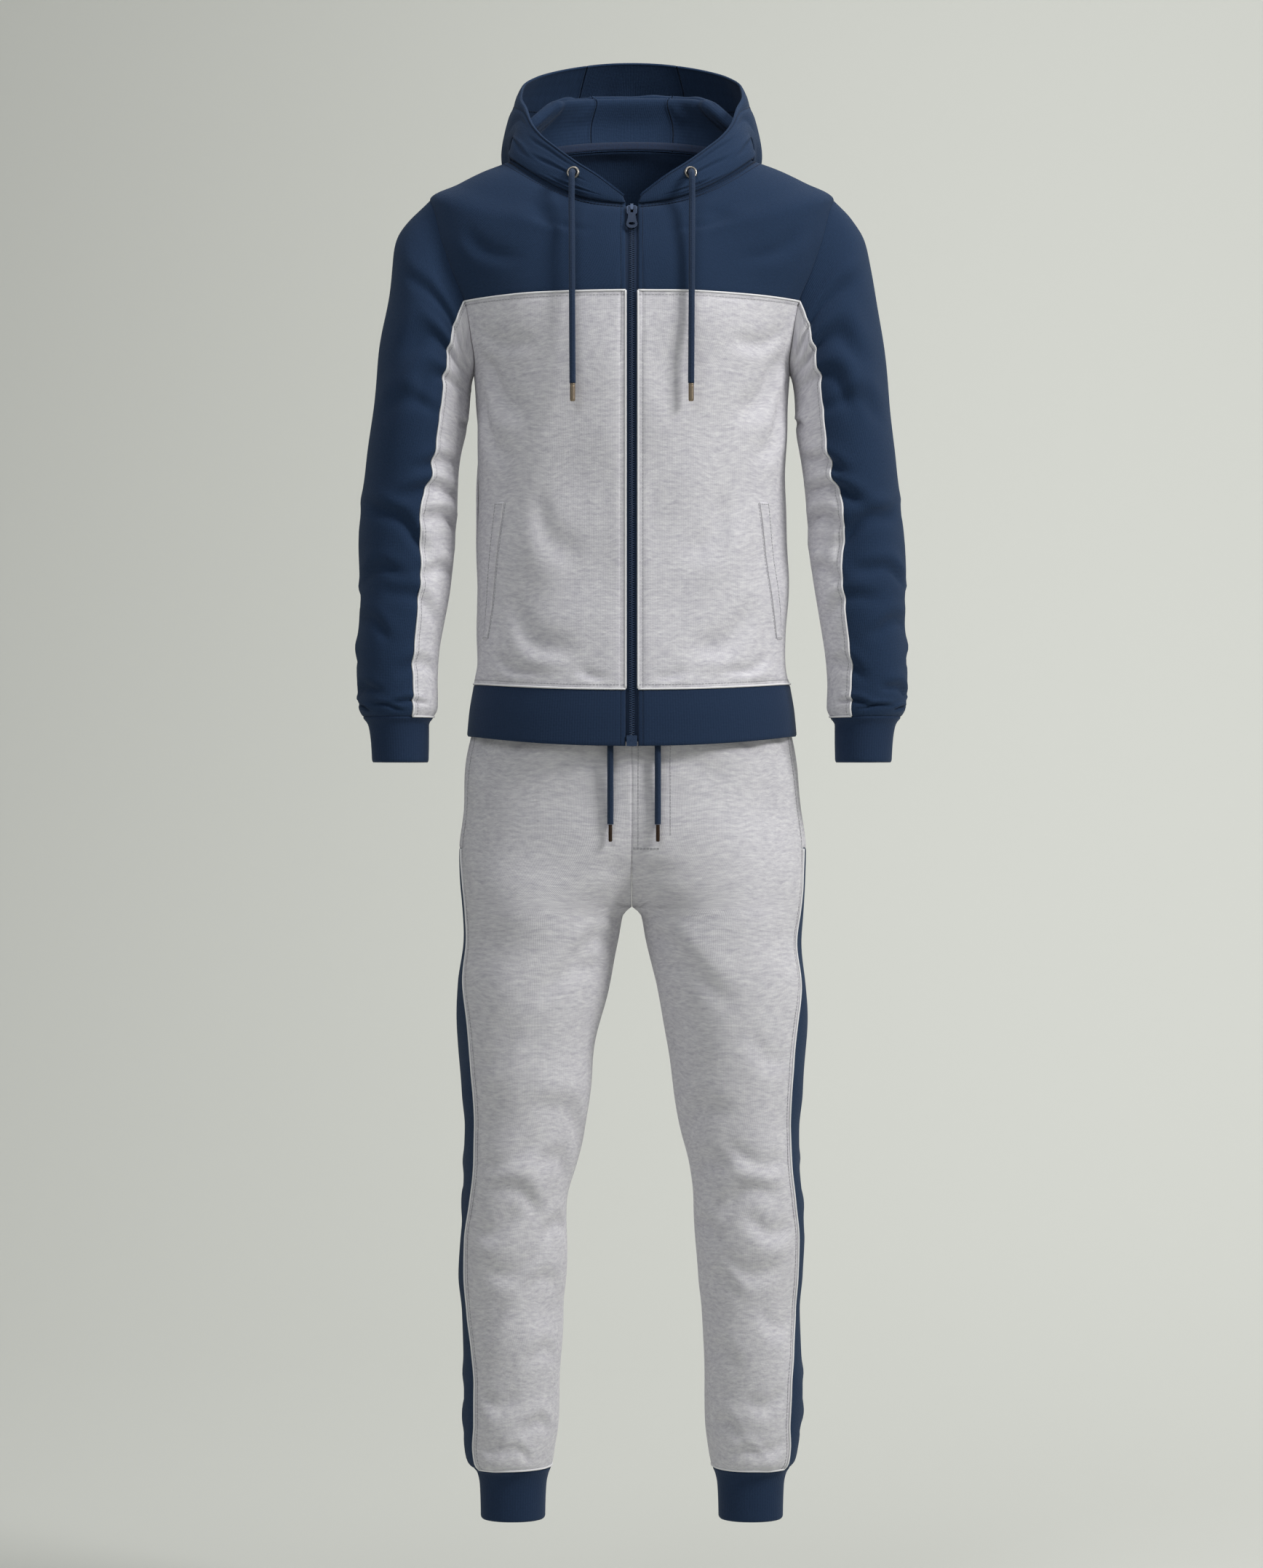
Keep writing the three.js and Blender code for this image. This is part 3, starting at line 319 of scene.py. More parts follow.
# Soft creases, listed one by one
# Each row is one stroke over a form: from (a, b) to (c, d) in the form's own two measures, angles in
# degrees, with its half width and depth in mm. A trough has a negative depth and a low ridge beside it.
creases = {
    "torso": {
        "scale": (170, 52), "unevenness": 2.4, "strength": 2.8, "narrow": 0.9, "waves": 4,
        "rows": [
            [-66, 8.3, -38, 7.0, 15, -2.6], [-70, 7.6, -46, 6.1, 13, -1.8], [-60, 9.2, -30, 8.6, 15, -1.8],
            [66, 8.3, 40, 7.1, 14, -2.2], [70, 7.5, 50, 6.3, 13, -1.6], [61, 9.1, 34, 8.7, 15, -1.4],
            [-30, 6.4, -14, 4.6, 17, -1.9], [-44, 5.2, -22, 4.0, 15, -1.8], [-50, 3.7, -24, 3.1, 12, -1.8],
            [48, 3.9, 20, 3.2, 13, -1.9], [36, 5.6, 18, 4.7, 15, -1.5], [58, 3.0, 34, 2.6, 9, -1.4],
            [-62, 2.9, -38, 2.55, 9, -1.5], [-16, 2.7, -7, 2.4, 9, -1.0], [17, 2.75, 8, 2.4, 9, -1.0],
            [-52, 12.2, -30, 11.2, 15, -1.2], [52, 12.2, 32, 11.3, 15, -1.2],
            [-28, 14.3, -8, 13.1, 14, -1.0], [30, 14.4, 12, 13.0, 14, -1.0],
            [120, 8.2, 152, 7.0, 15, -2.4], [122, 7.4, 146, 6.0, 14, -1.8], [240, 8.2, 208, 6.9, 15, -2.4],
            [238, 7.3, 214, 5.9, 14, -1.8], [130, 4.6, 165, 3.8, 16, -1.8], [230, 4.4, 194, 3.6, 16, -1.8],
            [150, 12.0, 178, 11.2, 15, -1.4], [206, 12.1, 182, 11.0, 15, -1.2], [170, 5.6, 192, 5.0, 15, -1.6],
        ],
    },
    "sleeve": {
        "scale": (56, 40), "unevenness": 2.0, "strength": 2.7, "narrow": 0.75, "waves": 7,
        "rows": [
            [148, 2.2, 62, 4.9, 12, -2.4], [150, 3.4, 82, 6.2, 11, -2.2], [140, 1.2, 48, 2.8, 12, -1.6],
            [120, 5.6, 40, 6.6, 12, -1.5], [165, 7.0, 98, 8.0, 9, -2.4], [170, 8.2, 78, 8.9, 9, -3.2],
            [176, 9.2, 104, 9.4, 8, -3.4], [120, 9.9, 36, 9.1, 9, -3.0], [96, 10.5, 20, 10.9, 9, -2.0],
            [172, 10.4, 112, 10.9, 9, -2.2], [150, 11.9, 66, 11.3, 10, -1.8], [84, 12.4, 10, 12.0, 9, -1.6],
            [160, 13.2, 92, 13.6, 9, -1.8], [70, 13.9, 8, 14.3, 8, -2.0], [140, 14.6, 84, 14.9, 7, -1.8],
            [100, 15.2, 50, 14.9, 6, -1.6], [44, 15.3, 8, 15.0, 6, -1.6], [8, 9.0, -24, 9.3, 9, -1.1],
            [10, 11.2, -22, 11.6, 9, -1.8], [12, 13.1, -20, 13.0, 9, -1.8], [4, 14.6, -26, 14.8, 7, -1.8],
            [-148, 2.4, -66, 4.6, 12, -2.4], [-160, 7.6, -84, 8.4, 10, -2.6], [-170, 9.4, -96, 9.8, 9, -2.8],
            [-110, 9.0, -36, 8.6, 10, -2.2], [-160, 11.4, -90, 11.0, 10, -2.0], [-96, 12.8, -30, 12.4, 9, -1.8],
            [-150, 14.2, -86, 14.5, 8, -1.8], [-80, 14.9, -30, 14.7, 7, -1.6], [186, 5.4, 150, 6.0, 9, -1.6],
        ],
    },
    "leg": {
        "scale": (90, 1), "unevenness": 2.6, "strength": 2.2, "narrow": 0.85, "waves": 11,
        "rows": [
            [150, 850, 100, 792, 14, -2.2], [158, 872, 112, 905, 14, -2.4], [150, 900, 90, 950, 15, -1.6],
            [86, 668, 60, 700, 14, -1.2], [60, 640, 40, 668, 10, -1.2], [30, 640, 20, 672, 9, -1.2],
            [165, 1100, 96, 1068, 14, -1.6], [160, 1150, 104, 1128, 13, -1.8], [120, 1182, 60, 1160, 12, -2.4],
            [48, 1130, 104, 1112, 12, -1.8], [46, 1206, 96, 1192, 12, -2.2], [166, 1200, 122, 1216, 11, -2.2],
            [60, 1250, 120, 1238, 12, -1.8], [150, 1262, 96, 1280, 12, -1.6], [44, 1316, 84, 1300, 13, -1.4],
            [150, 1344, 104, 1360, 12, -1.6], [56, 1392, 100, 1404, 11, -1.8], [148, 1428, 104, 1440, 9, -2.2],
            [52, 1448, 84, 1456, 8, -2.0], [120, 1462, 76, 1466, 6, -1.6], [44, 1020, 84, 985, 15, -1.2],
            [-150, 852, -104, 800, 15, -3.0], [-158, 880, -108, 920, 15, -2.8], [-120, 760, -60, 742, 20, -2.0],
            [-160, 1150, -90, 1140, 12, -3.0], [-150, 1186, -70, 1172, 12, -3.2], [-120, 1222, -56, 1206, 12, -2.6],
            [-148, 1262, -96, 1252, 12, -2.0], [-60, 1320, -110, 1336, 13, -1.8], [-140, 1400, -90, 1412, 11, -2.2],
            [-60, 1440, -110, 1452, 8, -2.0], [-90, 1040, -130, 1010, 16, -1.6], [4, 1150, -24, 1160, 12, -1.8],
            [6, 1204, -26, 1196, 12, -1.8], [8, 1392, -20, 1404, 11, -1.8], [10, 1440, -22, 1436, 9, -1.8],
        ],
    },
    "hood": {
        "scale": (112, 26), "unevenness": 1.0, "strength": 0.9, "narrow": 1.0, "waves": 13,
        "rows": [
            [22, 6.6, 52, 5.2, 10, -1.6], [30, 9.0, 66, 8.2, 11, -1.2], [12, 3.0, 34, 2.4, 9, -2.2],
            [18, 1.4, 46, 1.2, 8, -1.6], [62, 4.0, 88, 5.2, 12, -2.0], [78, 9.4, 104, 9.0, 10, -1.6],
            [-20, 6.8, -50, 5.0, 10, -1.6], [-32, 9.1, -64, 8.4, 11, -1.2], [-12, 2.9, -36, 2.5, 9, -2.2],
            [-19, 1.3, -44, 1.3, 8, -1.6], [-60, 3.8, -90, 5.0, 12, -2.0], [-80, 9.3, -102, 9.1, 10, -1.6],
            [172, 10.4, 164, 9.5, 6, -3.0], [182, 10.5, 185, 9.6, 5, -3.0], [190, 10.4, 198, 9.4, 6, -3.2],
            [203, 10.5, 212, 9.6, 6, -3.4], [218, 10.4, 227, 9.6, 6, -2.8], [156, 10.4, 148, 9.7, 6, -2.2],
            [176, 4.3, 168, 3.3, 7, -1.4], [196, 4.2, 204, 3.4, 7, -1.4], [146, 4.2, 138, 3.2, 9, -1.0],
            [212, 4.2, 222, 3.1, 9, -1.0], [160, 2.2, 150, 1.2, 8, -1.6], [204, 2.0, 214, 1.0, 8, -1.4],
            [-128, 3.2, -113, 0.9, 9, -3.0], [126, 3.1, 114, 1.0, 9, -2.6],
            [140, 9.0, 160, 8.2, 14, -2.4], [222, 9.0, 198, 8.3, 14, -2.4], [170, 9.2, 190, 8.9, 12, -1.8],
        ],
    },
}


# Slow waves of a fixed pattern, about one high, over points in mm
def slowWaves(points, seed, short=70, long=190, count=9):
    random = np.random.default_rng(seed)
    total = np.zeros(points.shape[:-1])
    for _ in range(count):
        way = unit(random.normal(size=3))
        total = total + np.sin(points @ way * fullTurn / random.uniform(short, long) + random.uniform(0, fullTurn))
    return total / math.sqrt(count)


# A stroke bows by its sag, fades over its tails and has a low ridge beside it
strokeSet = {"sag": 0.12, "tail": 0.45, "start": 0.35, "ridge": 0.45, "ridgeOff": 1.9, "ridgeWide": 1.3}


def relief(form, a, b, points, side):
    spec = creases[form]
    scaleA, scaleB = spec["scale"]
    height = spec["unevenness"] * 0.6 * slowWaves(points * np.array([side, 1, 1]), spec["waves"] + (side < 0))
    for a0, b0, a1, b1, wide, deep in spec["rows"]:
        # the two sides of a pair differ a little, as sewn pieces do
        if form in ("sleeve", "leg") and side < 0:
            b0, b1, deep = b0 + 6 / scaleB, b1 - 7 / scaleB, deep * 0.85
        start = np.array([rad(a0) * scaleA, b0 * scaleB])
        way = np.array([rad(a1 - a0) * scaleA, (b1 - b0) * scaleB])
        length = np.hypot(*way)
        way = way / length
        u = ((a - rad(a0) + math.pi) % fullTurn - math.pi) * scaleA
        v = b * scaleB - start[1]
        near = u * way[0] + v * way[1]
        bow = np.sin(np.clip(near / length, 0, 1) * math.pi) ** 2
        off = v * way[0] - u * way[1] - strokeSet["sag"] * length * bow
        wide = wide * spec["narrow"]
        tail = strokeSet["tail"] * length
        fade = ease(near / tail + strokeSet["start"]) * ease((length - near) / tail + strokeSet["start"])
        ridge = np.exp(-((off - strokeSet["ridgeOff"] * wide) / (strokeSet["ridgeWide"] * wide)) ** 2)
        shape = np.exp(-(off / wide) ** 2) - strokeSet["ridge"] * ridge
        height = height + spec["strength"] * deep * fade * shape
    return height


surfaces = {"torso": torsoPoint, "sleeve": sleevePoint, "leg": legPoint, "hood": hoodPoint}


# How strongly creases show: they die out at the armhole, where torso and sleeve meet, and at the zip
def calm(form, a, b, points):
    if form == "torso":
        zipSide = ease((np.abs(points[..., 0]) - 6) / 24) + (points[..., 1] > 0)
        neck = ease((neckLevel - b) / 0.8)
        hem = ease((b - bandLevel) / 0.35)
        return ease((fromHole(a, b) - 1) / 0.35) * np.clip(zipSide, 0, 1) * neck * hem
    if form == "sleeve":
        return ease(b / 1.2) * ease((17 - b) / 0.9)
    if form == "leg":
        middle = ease((points[..., 0] - 1) / 25)
        return middle * ease((1487 - b) / 9) * ease((b - 560) / 30)
    return ease(b / 0.7) * ease((11.2 - b) / 0.7) * ease((np.abs(np.sin(a / 2)) * 160 - 10) / 30)


# The drawcord's channel stands up a little above the line of stitches that closes it
channelSet = {"seam": 10.32, "rise": 0.9, "near": 0.3, "far": 0.25, "dip": 1.0, "dipWide": 0.13}


# Points of a form with its creases, and the way they face; side -1 is the left one of a pair
def laid(form, a, b, side=1, out=0.0):
    a, b = np.broadcast_arrays(np.asarray(a, float), np.asarray(b, float))
    surface = surfaces[form]
    points = surface(a, b)
    normal = facing(surface, a, b)
    height = relief(form, a, b, points, side) * calm(form, a, b, points) + out
    if form == "hood":
        past = b - channelSet["seam"]
        channel = ease(past / channelSet["near"]) * ease((hoodRows - b) / channelSet["far"])
        height = height + channelSet["rise"] * np.where(past > 0, channel, 0)
        height = height - channelSet["dip"] * np.exp(-((past / channelSet["dipWide"]) ** 2))
    points = points + normal * height[..., None]
    flip = np.array([side, 1, 1])
    return points * flip, normal * flip


print("creases")


# Materials
def put(tree, kind, inputs=None, **settings):
    node = tree.nodes.new(kind)
    for key, value in settings.items():
        setattr(node, key, value)
    for key, value in (inputs or {}).items():
        if isinstance(value, bpy.types.NodeSocket):
            tree.links.new(value, node.inputs[key])
        else:
            node.inputs[key].default_value = value
    return node


def newGroup(name, inputs, outputs):
    group = bpy.data.node_groups.new(name, "ShaderNodeTree")
    for label, kind, default in inputs:
        socket = group.interface.new_socket(label, in_out="INPUT", socket_type=kind)
        socket.default_value = default
    for label, kind in outputs:
        group.interface.new_socket(label, in_out="OUTPUT", socket_type=kind)
    return group, group.nodes.new("NodeGroupInput"), group.nodes.new("NodeGroupOutput")


def stretched(tree, vector, scale):
    return put(tree, "ShaderNodeMapping", {"Vector": vector, "Scale": scale}).outputs[0]


def noiseOf(tree, vector, scale, detail=2.0, rough=0.5):
    node = put(tree, "ShaderNodeTexNoise", {"Vector": vector, "Scale": scale, "Detail": detail, "Roughness": rough})
    return node.outputs[0]


def sums(tree, kind, a, b=0.0):
    return put(tree, "ShaderNodeMath", {0: a, 1: b}, operation=kind).outputs[0]


def blend(tree, share, low, high):
    return put(tree, "ShaderNodeMix", {"Factor": share, 6: low, 7: high}, data_type="RGBA").outputs[2]


# Wavy fibre streaks of dyed and plain yarn; U runs across the cloth, both in metres
def heatherGroup():
    group, inside, outside = newGroup(
        "heatherStreaks",
        [("place", "NodeSocketVector", (0, 0, 0)), ("light", "NodeSocketColor", (1, 1, 1, 1)),
         ("dark", "NodeSocketColor", (0, 0, 0, 1))],
        [("colour", "NodeSocketColor")],
    )
    uv = inside.outputs["place"]
    sway = put(group, "ShaderNodeTexNoise", {"Vector": uv, "Scale": 15.0, "Detail": 3.0})
    small = put(group, "ShaderNodeVectorMath", {0: sway.outputs["Color"], "Scale": 0.020}, operation="SCALE")
    bent = put(group, "ShaderNodeVectorMath", {0: uv, 1: small.outputs[0]}, operation="ADD").outputs[0]
    wide = noiseOf(group, stretched(group, bent, (85, 290, 1)), 1.0, 3.0, 0.6)
    fine = noiseOf(group, stretched(group, bent, (210, 800, 1)), 1.0, 2.0, 0.6)
    cloud = noiseOf(group, stretched(group, bent, (24, 60, 1)), 1.0, 2.0)
    both = sums(group, "MULTIPLY", wide, 0.6)
    both = sums(group, "ADD", both, sums(group, "MULTIPLY", fine, 0.25))
    both = sums(group, "ADD", both, sums(group, "MULTIPLY", cloud, 0.15))
    mask = put(group, "ShaderNodeMapRange", {"Value": both, "From Min": 0.35, "From Max": 0.63}).outputs[0]
    colour = blend(group, mask, inside.outputs["dark"], inside.outputs["light"])
    group.links.new(colour, outside.inputs["colour"])
    return group


# The knit's small loops and its soft nap, as a normal
def knitGroup():
    group, inside, outside = newGroup(
        "knitFace",
        [("place", "NodeSocketVector", (0, 0, 0)), ("depth", "NodeSocketFloat", 0.3),
         ("across", "NodeSocketFloat", 700.0), ("down", "NodeSocketFloat", 900.0)],
        [("normal", "NodeSocketVector"), ("fuzz", "NodeSocketFloat")],
    )
    uv = inside.outputs["place"]
    parts = put(group, "ShaderNodeSeparateXYZ", {"Vector": uv})
    u = sums(group, "MULTIPLY", parts.outputs[0], inside.outputs["across"])
    v = sums(group, "MULTIPLY", parts.outputs[1], inside.outputs["down"])
    ribs = sums(group, "SINE", sums(group, "MULTIPLY", u, fullTurn))
    loops = sums(group, "SINE", sums(group, "MULTIPLY", v, fullTurn))
    knit = sums(group, "ADD", sums(group, "MULTIPLY", ribs, 0.3), sums(group, "MULTIPLY", loops, 0.15))
    nap = noiseOf(group, uv, 420.0, 3.0, 0.6)
    height = sums(group, "ADD", knit, sums(group, "MULTIPLY", nap, 1.3))
    bump = put(group, "ShaderNodeBump", {"Strength": inside.outputs["depth"], "Distance": 0.0007, "Height": height})
    group.links.new(bump.outputs[0], outside.inputs["normal"])
    group.links.new(nap, outside.inputs["fuzz"])
    return group


heather = heatherGroup()
knit = knitGroup()


def opened(name, colour, values):
    made = bpy.data.materials.new(name)
    made.use_nodes = True
    made.diffuse_color = (*colour, 1)
    shader = made.node_tree.nodes["Principled BSDF"]
    for key, value in values.items():
        shader.inputs[key].default_value = value
    return made, made.node_tree, shader


def cloth(name, colour, second, rough=0.95, sheen=0.1, depth=0.3, across=700.0, down=900.0, streaky=False,
          tint=(1, 1, 1), mapped=True):
    made, tree, shader = opened(name, colour, {
        "Roughness": rough, "Sheen Weight": sheen, "Sheen Roughness": 0.45, "Sheen Tint": (*tint, 1),
        "Specular IOR Level": 0.25,
    })
    if mapped:
        place = put(tree, "ShaderNodeUVMap", uv_map="cloth").outputs[0]
    else:
        place = put(tree, "ShaderNodeTexCoord").outputs["Object"]
    face = put(tree, "ShaderNodeGroup", node_tree=knit)
    for key, value in (("depth", depth), ("across", across), ("down", down)):
        face.inputs[key].default_value = value
    tree.links.new(place, face.inputs["place"])
    tree.links.new(face.outputs["normal"], shader.inputs["Normal"])
    if streaky:
        source = put(tree, "ShaderNodeGroup", node_tree=heather)
        source.inputs["light"].default_value = (*colour, 1)
        source.inputs["dark"].default_value = (*second, 1)
        tree.links.new(place, source.inputs["place"])
        shade = source.outputs["colour"]
    else:
        shade = blend(tree, face.outputs["fuzz"], (*second, 1), (*colour, 1))
    tree.links.new(shade, shader.inputs["Base Color"])
    return made


def hard(name, colour, metal, rough, wear=0.15):
    made, tree, shader = opened(name, colour, {"Metallic": metal})
    place = put(tree, "ShaderNodeTexCoord").outputs["Object"]
    mottle = noiseOf(tree, place, 900.0, 3.0)
    rougher = put(tree, "ShaderNodeMapRange", {"Value": mottle, "To Min": rough - wear, "To Max": rough + wear})
    tree.links.new(rougher.outputs[0], shader.inputs["Roughness"])
    shade = blend(tree, mottle, (*[c * 0.6 for c in colour], 1), (*colour, 1))
    tree.links.new(shade, shader.inputs["Base Color"])
    return made


# Colours are linear
colours = {
    "navy": (0.0175, 0.0410, 0.0960), "navyDark": (0.0085, 0.0235, 0.0560),
    "rib": (0.0165, 0.0360, 0.0830), "ribDark": (0.0100, 0.0230, 0.0540),
    "greyLight": (0.745, 0.738, 0.765), "greyDark": (0.500, 0.488, 0.545),
    "tape": (0.019, 0.020, 0.033), "cord": (0.020, 0.038, 0.080),
}
cool = (0.5, 0.62, 0.85)
finishes = {
    "navy_fleece": cloth("navyFleece", colours["navy"], colours["navyDark"], 0.92, depth=0.6, tint=cool),
    "grey_heather": cloth("greyHeather", colours["greyLight"], colours["greyDark"], streaky=True),
    "navy_rib": cloth("navyRib", colours["rib"], colours["ribDark"], across=330.0, down=600.0, tint=cool),
    "waist_rib": cloth("waistRib", colours["rib"], colours["ribDark"], depth=0.5, across=330.0, down=600.0,
                       mapped=False),
    "neck_tape": cloth("neckTape", colours["tape"], colours["navy"], depth=0.4),
    "cord": cloth("cordKnit", colours["cord"], colours["ribDark"], 0.85, 0.2, 0.8, 500.0, 700.0, tint=cool),
    "zip": cloth("zipTape", colours["rib"], colours["ribDark"], 0.8, 0.1, 0.4, 900.0, 1200.0),
    "teeth": hard("zipTeeth", (0.026, 0.052, 0.112), 0.0, 0.3),
    "steel": hard("pullMetal", (0.040, 0.055, 0.090), 0.95, 0.22, 0.06),
    "eyelet": hard("eyeletMetal", (0.34, 0.32, 0.29), 1.0, 0.36),
    "tip_brass": hard("tipBrass", (0.42, 0.34, 0.25), 1.0, 0.42),
    "tip_dark": hard("tipDark", (0.085, 0.055, 0.040), 0.9, 0.42),
    # The rolled edges are drawn lighter than the grey cloth they are made of: a painted highlight along each seam's
    # crest
    "roll": cloth("rolledEdge", (0.86, 0.86, 0.87), (0.76, 0.76, 0.78), depth=0.2, mapped=False),
    "navyThread": cloth("navyThread", (0.012, 0.024, 0.052), (0.009, 0.018, 0.04), 0.8, depth=0.2, mapped=False),
    "greyThread": cloth("greyThread", (0.44, 0.44, 0.465), (0.36, 0.36, 0.39), 0.8, depth=0.2, mapped=False),
}
print("materials")


# Meshes
def spaced(length, step=5.0):
    count = max(2, round(length / step))
    near = [v / length for v in (0.8, 2.3, 4.2, 5.2, 6.2) if v < length / 2]
    shares = np.concatenate([steps(count), near, [1 - v for v in near]])
    shares.sort()
    return shares[np.concatenate([[True], np.diff(shares) > 0.35 / length])]


# A piece's CAD node has its name in small letters with underscores
def nodeOf(name):
    return re.sub("[A-Z]", lambda found: "_" + found[0].lower(), name)


def finished(name, mesh, finish, node=None):
    obj = bpy.data.objects.new(name, mesh)
    bpy.context.scene.collection.objects.link(obj)
    mesh.materials.append(finishes[finish])
    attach(obj, "garment")
    if node:
        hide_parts(node)
    return obj


def filled(bm, mesh, smooth=True):
    if smooth:
        for face in bm.faces:
            face.smooth = True
    bm.to_mesh(mesh)
    bm.free()
    return mesh


# A grid of points in mm as a mesh, with a map called cloth
def gridMesh(name, points, u, v):
    rows, columns = points.shape[:2]
    bm = bmesh.new()
    bmesh.ops.create_grid(bm, x_segments=columns - 1, y_segments=rows - 1, size=1)
    mesh = filled(bm, bpy.data.meshes.new(name), False)
    mesh.vertices.foreach_set("co", (points * mm).ravel())
    layer = mesh.uv_layers.new(name="cloth")
    corner = np.empty(len(mesh.loops), int)
    mesh.loops.foreach_get("vertex_index", corner)
    both = [np.broadcast_to(part * mm, (rows, columns)).ravel()[corner] for part in (u, v)]
    layer.data.foreach_set("uv", np.stack(both, -1).ravel())
    return mesh


# Distances along rows or columns of points
def spans(points, axis=0):
    part = np.linalg.norm(np.diff(points, axis=axis), axis=-1)
    zero = np.zeros_like(np.take(part, [0], axis))
    return np.cumsum(np.concatenate([zero, part], axis), axis)


def readAlong(points, run, at):
    return np.stack([np.interp(at, run, points[:, k]) for k in range(3)], -1)


# Stitches: small lengths of thread along a line of points, gathered by colour
stitchSet = {"length": 2.7, "gap": 1.1, "wide": 0.62, "tall": 0.5, "above": 0.1, "inset": 5.2, "sunk": 1.05,
             "sunkWide": 0.9}
stitchMeshes = {}


def boxAt(bm, centre, ahead, up, sizes):
    along = unit(ahead)
    sideways = unit(np.cross(up, along))
    place = np.eye(4)
    for k, (way, size) in enumerate(zip((along, sideways, np.cross(along, sideways)), sizes)):
        place[:3, k] = way * size * mm
    place[:3, 3] = centre * mm
    bmesh.ops.create_cube(bm, size=1, matrix=Matrix(place.tolist()))


def stitchRun(key, points, normals):
    points = points + normals * stitchSet["above"]
    run = spans(points)
    pitch = stitchSet["length"] + stitchSet["gap"]
    if key not in stitchMeshes:
        stitchMeshes[key] = bmesh.new()
    for middle in np.arange(pitch / 2, run[-1], pitch):
        ahead = readAlong(points, run, middle + 1) - readAlong(points, run, middle - 1)
        boxAt(stitchMeshes[key], readAlong(points, run, middle), ahead, readAlong(normals, run, middle),
              (stitchSet["length"], stitchSet["wide"], stitchSet["tall"]))


def stitches(key, form, a, b, side=1, out=0.0):
    stitchRun(key, *laid(form, a, b, side, out))


# A line of stitches inside one border of a grid; gap holds each point's distance from that border
def stitchBeside(key, border, gap, points, normals):
    if border in ("west", "east"):
        points, gap, normals = points.swapaxes(0, 1), gap.T, normals.swapaxes(0, 1)
    if gap[0, 0] > gap[-1, 0]:
        order = np.argsort(gap[:, 0])
        points, gap, normals = points[order], gap[order], normals[order]
    inset = stitchSet["inset"]
    line, facings = [], []
    for i in range(gap.shape[1]):
        k = np.searchsorted(gap[:, i], inset)
        share = (inset - gap[k - 1, i]) / (gap[k, i] - gap[k - 1, i])
        line.append(lerp(points[k - 1, i], points[k, i], share))
        facings.append(normals[k, i])
    stitchRun(key, np.array(line), np.array(facings))


# A seam's rolled edge of grey cloth, where grey meets navy; its colour is lighter than the grey, a painted
# highlight along its crest
rollSet = {"radius": 1.15, "above": 0.2, "step": 4, "around": 6}
rolls = []


def roll(name, form, a, b, side=1):
    points, _ = laid(form, a, b, side, rollSet["above"])
    run = spans(points)
    rolls.append((name, readAlong(points, run, np.linspace(0, run[-1], int(run[-1] / rollSet["step"])))))


# How much of a seam's dip stays. At the armhole both edges stay nearly in line, and at the neck quite in
# line, so that no gap opens between two forms
firmSet = {"hole": 0.4, "holeReach": 0.12, "armReach": 0.7, "neckReach": 0.15, "hoodReach": 0.12}


def firm(form, a, b):
    if form == "torso":
        hole = lerp(firmSet["hole"], 1, ease((fromHole(a, b) - 1) / firmSet["holeReach"]))
        return hole * ease((neckLevel - b) / firmSet["neckReach"])
    if form == "sleeve":
        return lerp(firmSet["hole"], 1, ease(b / firmSet["armReach"]))
    if form == "hood":
        return ease(b / firmSet["hoodReach"])
    return np.ones_like(a)


# A panel of cloth: a grid laid over a form, as thick as its wall. places holds its two measures, rows by
# columns. seam is the depth and the width of the dip at its borders. clear moves it over the middle plane.
# stitched names the borders beside which a line of stitches sinks into it: west and east are its first and
# last column, low and high its first and last row.
def panel(name, form, places, wall, finish, side=1, closed=False, seam=(1.0, 3.4), out=0.0, clear=None,
          stitched=(), thread="grey"):
    a, b = places
    rows, columns = a.shape
    plain = surfaces[form](a, b)
    across, along = spans(plain, 1), spans(plain, 0)
    gaps = {"low": along, "high": along[-1:] - along, "west": across, "east": across[:, -1:] - across}
    if closed:
        gaps = {"low": gaps["low"], "high": gaps["high"]}
    dip = sum(-seam[0] * np.clip(1 - gap / seam[1], 0, 1) ** 2 for gap in gaps.values()) * firm(form, a, b)
    for border in stitched:
        off = (gaps[border] - stitchSet["inset"]) / stitchSet["sunkWide"]
        dip = dip - stitchSet["sunk"] * np.exp(-(off ** 2))
    points, normals = laid(form, a, b, side, out + dip)
    for border in stitched:
        stitchBeside(thread, border, gaps[border], points, normals)
    if clear is not None:
        points[..., 0] = side * np.maximum(points[..., 0] * side - clear, -clear)
    mesh = gridMesh(name, points, across[rows // 2], along[:, columns // 2][:, None])
    bm = bmesh.new()
    bm.from_mesh(mesh)
    if closed:
        bmesh.ops.remove_doubles(bm, verts=bm.verts, dist=1e-6)
    bm.faces.ensure_lookup_table()
    probe = bm.faces[len(bm.faces) // 2]
    centre = np.array(probe.calc_center_median()) / mm
    nearest = np.argmin(np.linalg.norm(points.reshape(-1, 3) - centre, axis=1))
    if probe.normal.dot(Vector(normals.reshape(-1, 3)[nearest])) < 0:
        bmesh.ops.reverse_faces(bm, faces=bm.faces)
    obj = finished(name, filled(bm, mesh), finish, nodeOf(name))
    thick = obj.modifiers.new("thickness", "SOLIDIFY")
    thick.thickness = wall * mm
    thick.offset = -1
    thick.use_even_offset = False


sides = [("Left", -1), ("Right", 1)]


def gridOf(line, u, v):
    places = line(*np.meshgrid(u, v))
    return places[0], places[1]


# Fills a patch between border lines, each a function of its own share from 0 to 1
def patch(bottom, top, left, right, u, v):
    low, high = np.stack(bottom(u)), np.stack(top(u))
    west, east = np.stack(left(v)), np.stack(right(v))
    uu, vv = u[None, None, :], v[None, :, None]
    ends = lerp(lerp(low[:, :1], low[:, -1:], u)[:, None, :], lerp(high[:, :1], high[:, -1:], u)[:, None, :], vv)
    filled = lerp(low[:, None, :], high[:, None, :], vv) + lerp(west[:, :, None], east[:, :, None], uu) - ends
    return filled[0], filled[1]


# The fronts end this far from the middle, in mm
zipEdge = 7


def zipAngle(height):
    return angleAcross(zipEdge, height)


def same(value, like):
    return np.full_like(like, value)


